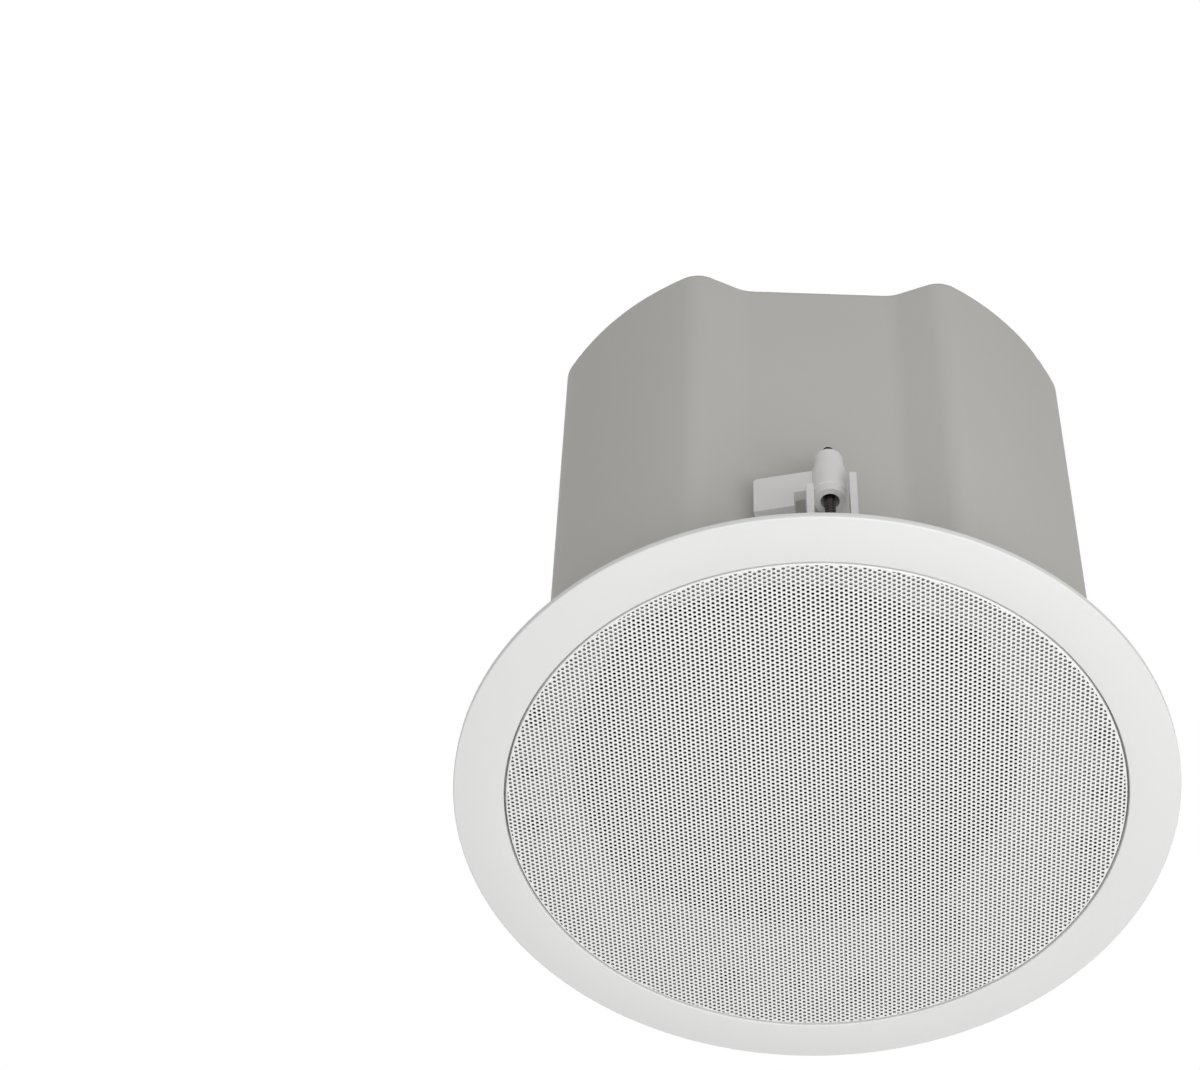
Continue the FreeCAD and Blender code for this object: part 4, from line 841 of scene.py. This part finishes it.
class SPEAKER_OT_driver(bpy.types.Operator):
    """Woofer frame with its screws, gaskets, cone, coil former and tweeter"""
    bl_idname = "speaker.driver"
    bl_label = "Driver"

    def execute(self, context):
        plastic = finish("tweeter_plastic")
        smooth_copy("frame", "woofer_frame", finish("frame_paint"), "housing", "frame_black")
        smooth_copy("cone", "woofer_cone", finish("cone_paper"), "cone", "cone_black", ROUNDED)
        smooth_copy("horn", "tweeter_horn", plastic, "housing", "tweeter_plastic", MACHINED)
        smooth_copy("dome", "tweeter_dome", finish("dome_silk"), "dome", "dome_cloth", ROUNDED)
        size = settings().screws
        low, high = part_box("woofer_screws")
        seat, tip = low[2] + size.ear_rise, high[2]
        rows = np.concatenate([
            head_rows(size.ear_head, low[2], seat),
            [[size.ear_shank, seat], [size.ear_shank, tip - size.ear_shank], [0.0, tip]],
        ])
        ends = [(low[axis] + size.ear_head, high[axis] - size.ear_head) for axis in (0, 1)]
        places = np.array([(x, y) for x in ends[0] for y in ends[1]])
        shape = copies(screw_shape(rows, size.ear_steps, (0.0, 0.0), size), places)
        piece("ear_screws", shape, MACHINED, finish("screw_black"), "housing", "black_steel",
              "woofer_screws")
        dress(finish("gasket_felt"), "woofer_gasket", "can_gasket")
        dress(plastic, "tweeter_housing")
        dress(finish("former_paper"), "coil_former")
        return {"FINISHED"}


class SPEAKER_OT_suspension(bpy.types.Operator):
    """Rubber surround and corrugated spider between the frame and the cone"""
    bl_idname = "speaker.suspension"
    bl_label = "Surround and spider"

    def execute(self, context):
        size = settings().suspension
        axis = middle_of("woofer_cone")[0]
        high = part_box("woofer_surround")[1]
        bent_ring("surround", surround_rows(size, high[0] - axis, high[2]), size.surround_sectors,
                  finish("surround_rubber"), "surround_rubber", "woofer_surround")
        low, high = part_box("woofer_spider")
        outer = high[0] - axis
        bent_ring("spider", spider_rows(size, outer, low[2]), size.spider_sectors,
                  finish("spider_cloth"), "spider_cloth", "woofer_spider")
        return {"FINISHED"}


class SPEAKER_OT_inside(bpy.types.Operator):
    """Motor, port, switch, transformer and crossover inside the can"""
    bl_idname = "speaker.inside"
    bl_label = "Inside the can"

    def execute(self, context):
        dress(finish("ferrite"), "magnet_ring", "transformer_core", "tweeter_motor", "tweeter_post")
        dress(finish("motor_plate"), "top_plate", "pole_yoke", "board_standoffs",
              "transformer_strap")
        dress(finish("enamelled_wire"), "coil_winding", "transformer_winding",
              "crossover_inductor")
        dress(finish("board_laminate"), "crossover_board")
        dress(finish("black_moulding"), "selector_switch", "crossover_capacitors", "terminal_block")
        dress(finish("port_plastic"), "port_tube")
        return {"FINISHED"}


class SPEAKER_OT_top_fittings(bpy.types.Operator):
    """Terminal cover, tether eye and screws on the can's top"""
    bl_idname = "speaker.top_fittings"
    bl_label = "Fittings"

    def execute(self, context):
        dress(finish("zinc_plate"), "terminal_cover", "tether_eye", "top_screws")
        return {"FINISHED"}


CAMERA_PLACE = (-0.079022, -0.931594, -1.022793)
CAMERA_RIGHT = (0.999245, -0.017652, 0.034616)
CAMERA_UP = (-0.035052, -0.793963, 0.606955)
CAMERA_AHEAD = (-0.016770, 0.607710, 0.793982)
CAMERA_LENS = 90.594
SENSOR_WIDTH = 36.0
FAR_CLIP = 60.0
PLAIN_WHITE = (1.0, 1.0, 1.0, 1.0)
FLAG_START, FLAG_END = 0.15, 0.95    # sideways part of a direction where a flag begins and ends


def lamp(name, spot, aim, width, watts):
    """A square area lamp that points from its spot at its aim."""
    light = bpy.data.lights.new(name, "AREA")
    light.size = width
    light.energy = watts
    thing = placed(name, light)
    thing.location = spot
    thing.rotation_euler = (Vector(aim) - Vector(spot)).to_track_quat("-Z", "Y").to_euler()


def backdrop_rays(hand):
    """One for rays of the camera, of gloss and of glass, nought for the rays that carry light."""
    path = hand.add("LightPath").outputs
    seen = path["Is Camera Ray"]
    for ray in ("Is Glossy Ray", "Is Transmission Ray"):
        either = hand.add("Math", {0: seen, 1: path[ray]}, operation="MAXIMUM")
        seen = either.outputs["Value"]
    return seen


def pale_floor(light):
    """A square floor with a glow for camera, gloss and glass rays alone, so that it lights nothing.
    The glow grows with distance until the floor is as white as the backdrop."""
    material = finish("pale_floor")
    hand = Nodes(material.node_tree)
    spot = hand.add("TexCoord").outputs["Object"]
    away = hand.add("VectorMath", {0: spot}, operation="LENGTH")
    grown = hand.add("MapRange", {
        "Value": away.outputs["Value"], "From Min": light.glow_start, "From Max": light.glow_end,
        "To Min": light.near_glow, "To Max": light.far_glow,
    }, interpolation_type="SMOOTHSTEP")
    glow = hand.add("Math", {0: backdrop_rays(hand), 1: grown.outputs["Result"]},
                    operation="MULTIPLY")
    hand.feed(material.node_tree.nodes["Principled BSDF"], {
        "Emission Color": PLAIN_WHITE, "Emission Strength": glow.outputs["Value"],
    })
    signs = np.array([[-1, -1, 0], [1, -1, 0], [1, 1, 0], [-1, 1, 0]])
    corners = signs * light.floor_reach + [0.0, 0.0, light.floor]
    mesh = fill_mesh("floor", corners, [np.array([[0, 1, 2, 3]])], TURNED)
    mesh.materials.append(material)
    floor = placed("floor", mesh)


def studio_world(light):
    """A white backdrop for what the camera, gloss and glass see, and for all else an even light
    that falls off towards both sides: ambient times one less each flag times a smooth step of the
    direction's x."""
    world = bpy.data.worlds.new("studio")
    world.use_nodes = True
    bpy.context.scene.world = world
    world.node_tree.nodes.clear()
    hand = Nodes(world.node_tree)
    seen = backdrop_rays(hand)
    way = hand.add("TexCoord").outputs["Generated"]
    sideways = hand.add("SeparateXYZ", {"Vector": way}).outputs["X"]
    right = hand.add("MapRange", {
        "Value": sideways, "From Min": FLAG_START, "From Max": FLAG_END,
        "To Min": light.ambient, "To Max": light.ambient * (1.0 - light.flag),
    }, interpolation_type="SMOOTHSTEP")
    left = hand.add("MapRange", {
        "Value": sideways, "From Min": -FLAG_END, "From Max": -FLAG_START,
        "To Min": 1.0 - light.left_flag, "To Max": 1.0,
    }, interpolation_type="SMOOTHSTEP")
    fall = hand.add("Math", {0: right.outputs["Result"], 1: left.outputs["Result"]},
                    operation="MULTIPLY")
    even = hand.add("Background", {"Color": PLAIN_WHITE, "Strength": fall.outputs["Value"]})
    white = hand.add("Background", {"Color": PLAIN_WHITE, "Strength": 1.0})
    mixed = hand.add("MixShader", {
        0: seen, 1: even.outputs["Background"], 2: white.outputs["Background"]})
    hand.add("OutputWorld", {"Surface": mixed.outputs["Shader"]})


def photo_camera():
    """The camera at the photograph's viewing angle, from its place and three directions."""
    view = bpy.data.cameras.new("photo_camera")
    view.sensor_width = SENSOR_WIDTH
    view.lens = CAMERA_LENS
    view.clip_end = FAR_CLIP
    camera = placed("photo_camera", view)
    turn = Matrix((CAMERA_RIGHT, CAMERA_UP, -Vector(CAMERA_AHEAD))).transposed()
    camera.matrix_world = Matrix.Translation(CAMERA_PLACE) @ turn.to_4x4()
    bpy.context.scene.camera = camera


class SPEAKER_OT_stage(bpy.types.Operator):
    """Pale floor, soft lamps, white backdrop and the camera"""
    bl_idname = "speaker.stage"
    bl_label = "Stage"

    def execute(self, context):
        light = settings().stage
        pale_floor(light)
        studio_world(light)
        lamp("key", light.key_place, light.key_aim, light.key_width, light.key)
        lamp("top", light.top_place, light.top_aim, light.top_width, light.top)
        photo_camera()
        context.scene.view_settings.view_transform = "Standard"
        return {"FINISHED"}


class SPEAKER_PT_panel(bpy.types.Panel):
    """The speaker's operators and settings in the sidebar"""
    bl_idname = "SPEAKER_PT_panel"
    bl_label = "Ceiling speaker"
    bl_space_type = "VIEW_3D"
    bl_region_type = "UI"
    bl_category = "Speaker"

    def draw(self, context):
        for operator in OPERATORS:
            self.layout.operator(operator.bl_idname)
        for group in SpeakerSettings.__annotations__:
            part = getattr(settings(), group)
            box = self.layout.box()
            for name in part.__annotations__:
                box.prop(part, name)


GROUPS = (GrilleSettings, BezelSettings, ScrewSettings, SuspensionSettings, FinishSettings,
          StageSettings, SpeakerSettings)
OPERATORS = (SPEAKER_OT_housing, SPEAKER_OT_grille, SPEAKER_OT_clamps, SPEAKER_OT_driver,
             SPEAKER_OT_suspension, SPEAKER_OT_inside, SPEAKER_OT_top_fittings, SPEAKER_OT_stage)
CLASSES = GROUPS + OPERATORS + (SPEAKER_PT_panel,)


def register():
    """Registers the settings, operators and panel."""
    for kind in CLASSES:
        bpy.utils.register_class(kind)
    bpy.types.Scene.speaker = PointerProperty(type=SpeakerSettings)


def unregister():
    """Removes the settings, operators and panel."""
    del bpy.types.Scene.speaker
    for kind in reversed(CLASSES):
        bpy.utils.unregister_class(kind)


def main():
    """Builds the speaker's looks and its stage."""
    register()
    bpy.ops.speaker.housing()
    bpy.ops.speaker.grille()
    bpy.ops.speaker.clamps()
    bpy.ops.speaker.driver()
    bpy.ops.speaker.suspension()
    bpy.ops.speaker.inside()
    bpy.ops.speaker.top_fittings()
    bpy.ops.speaker.stage()


if __name__ == "__main__":
    main()
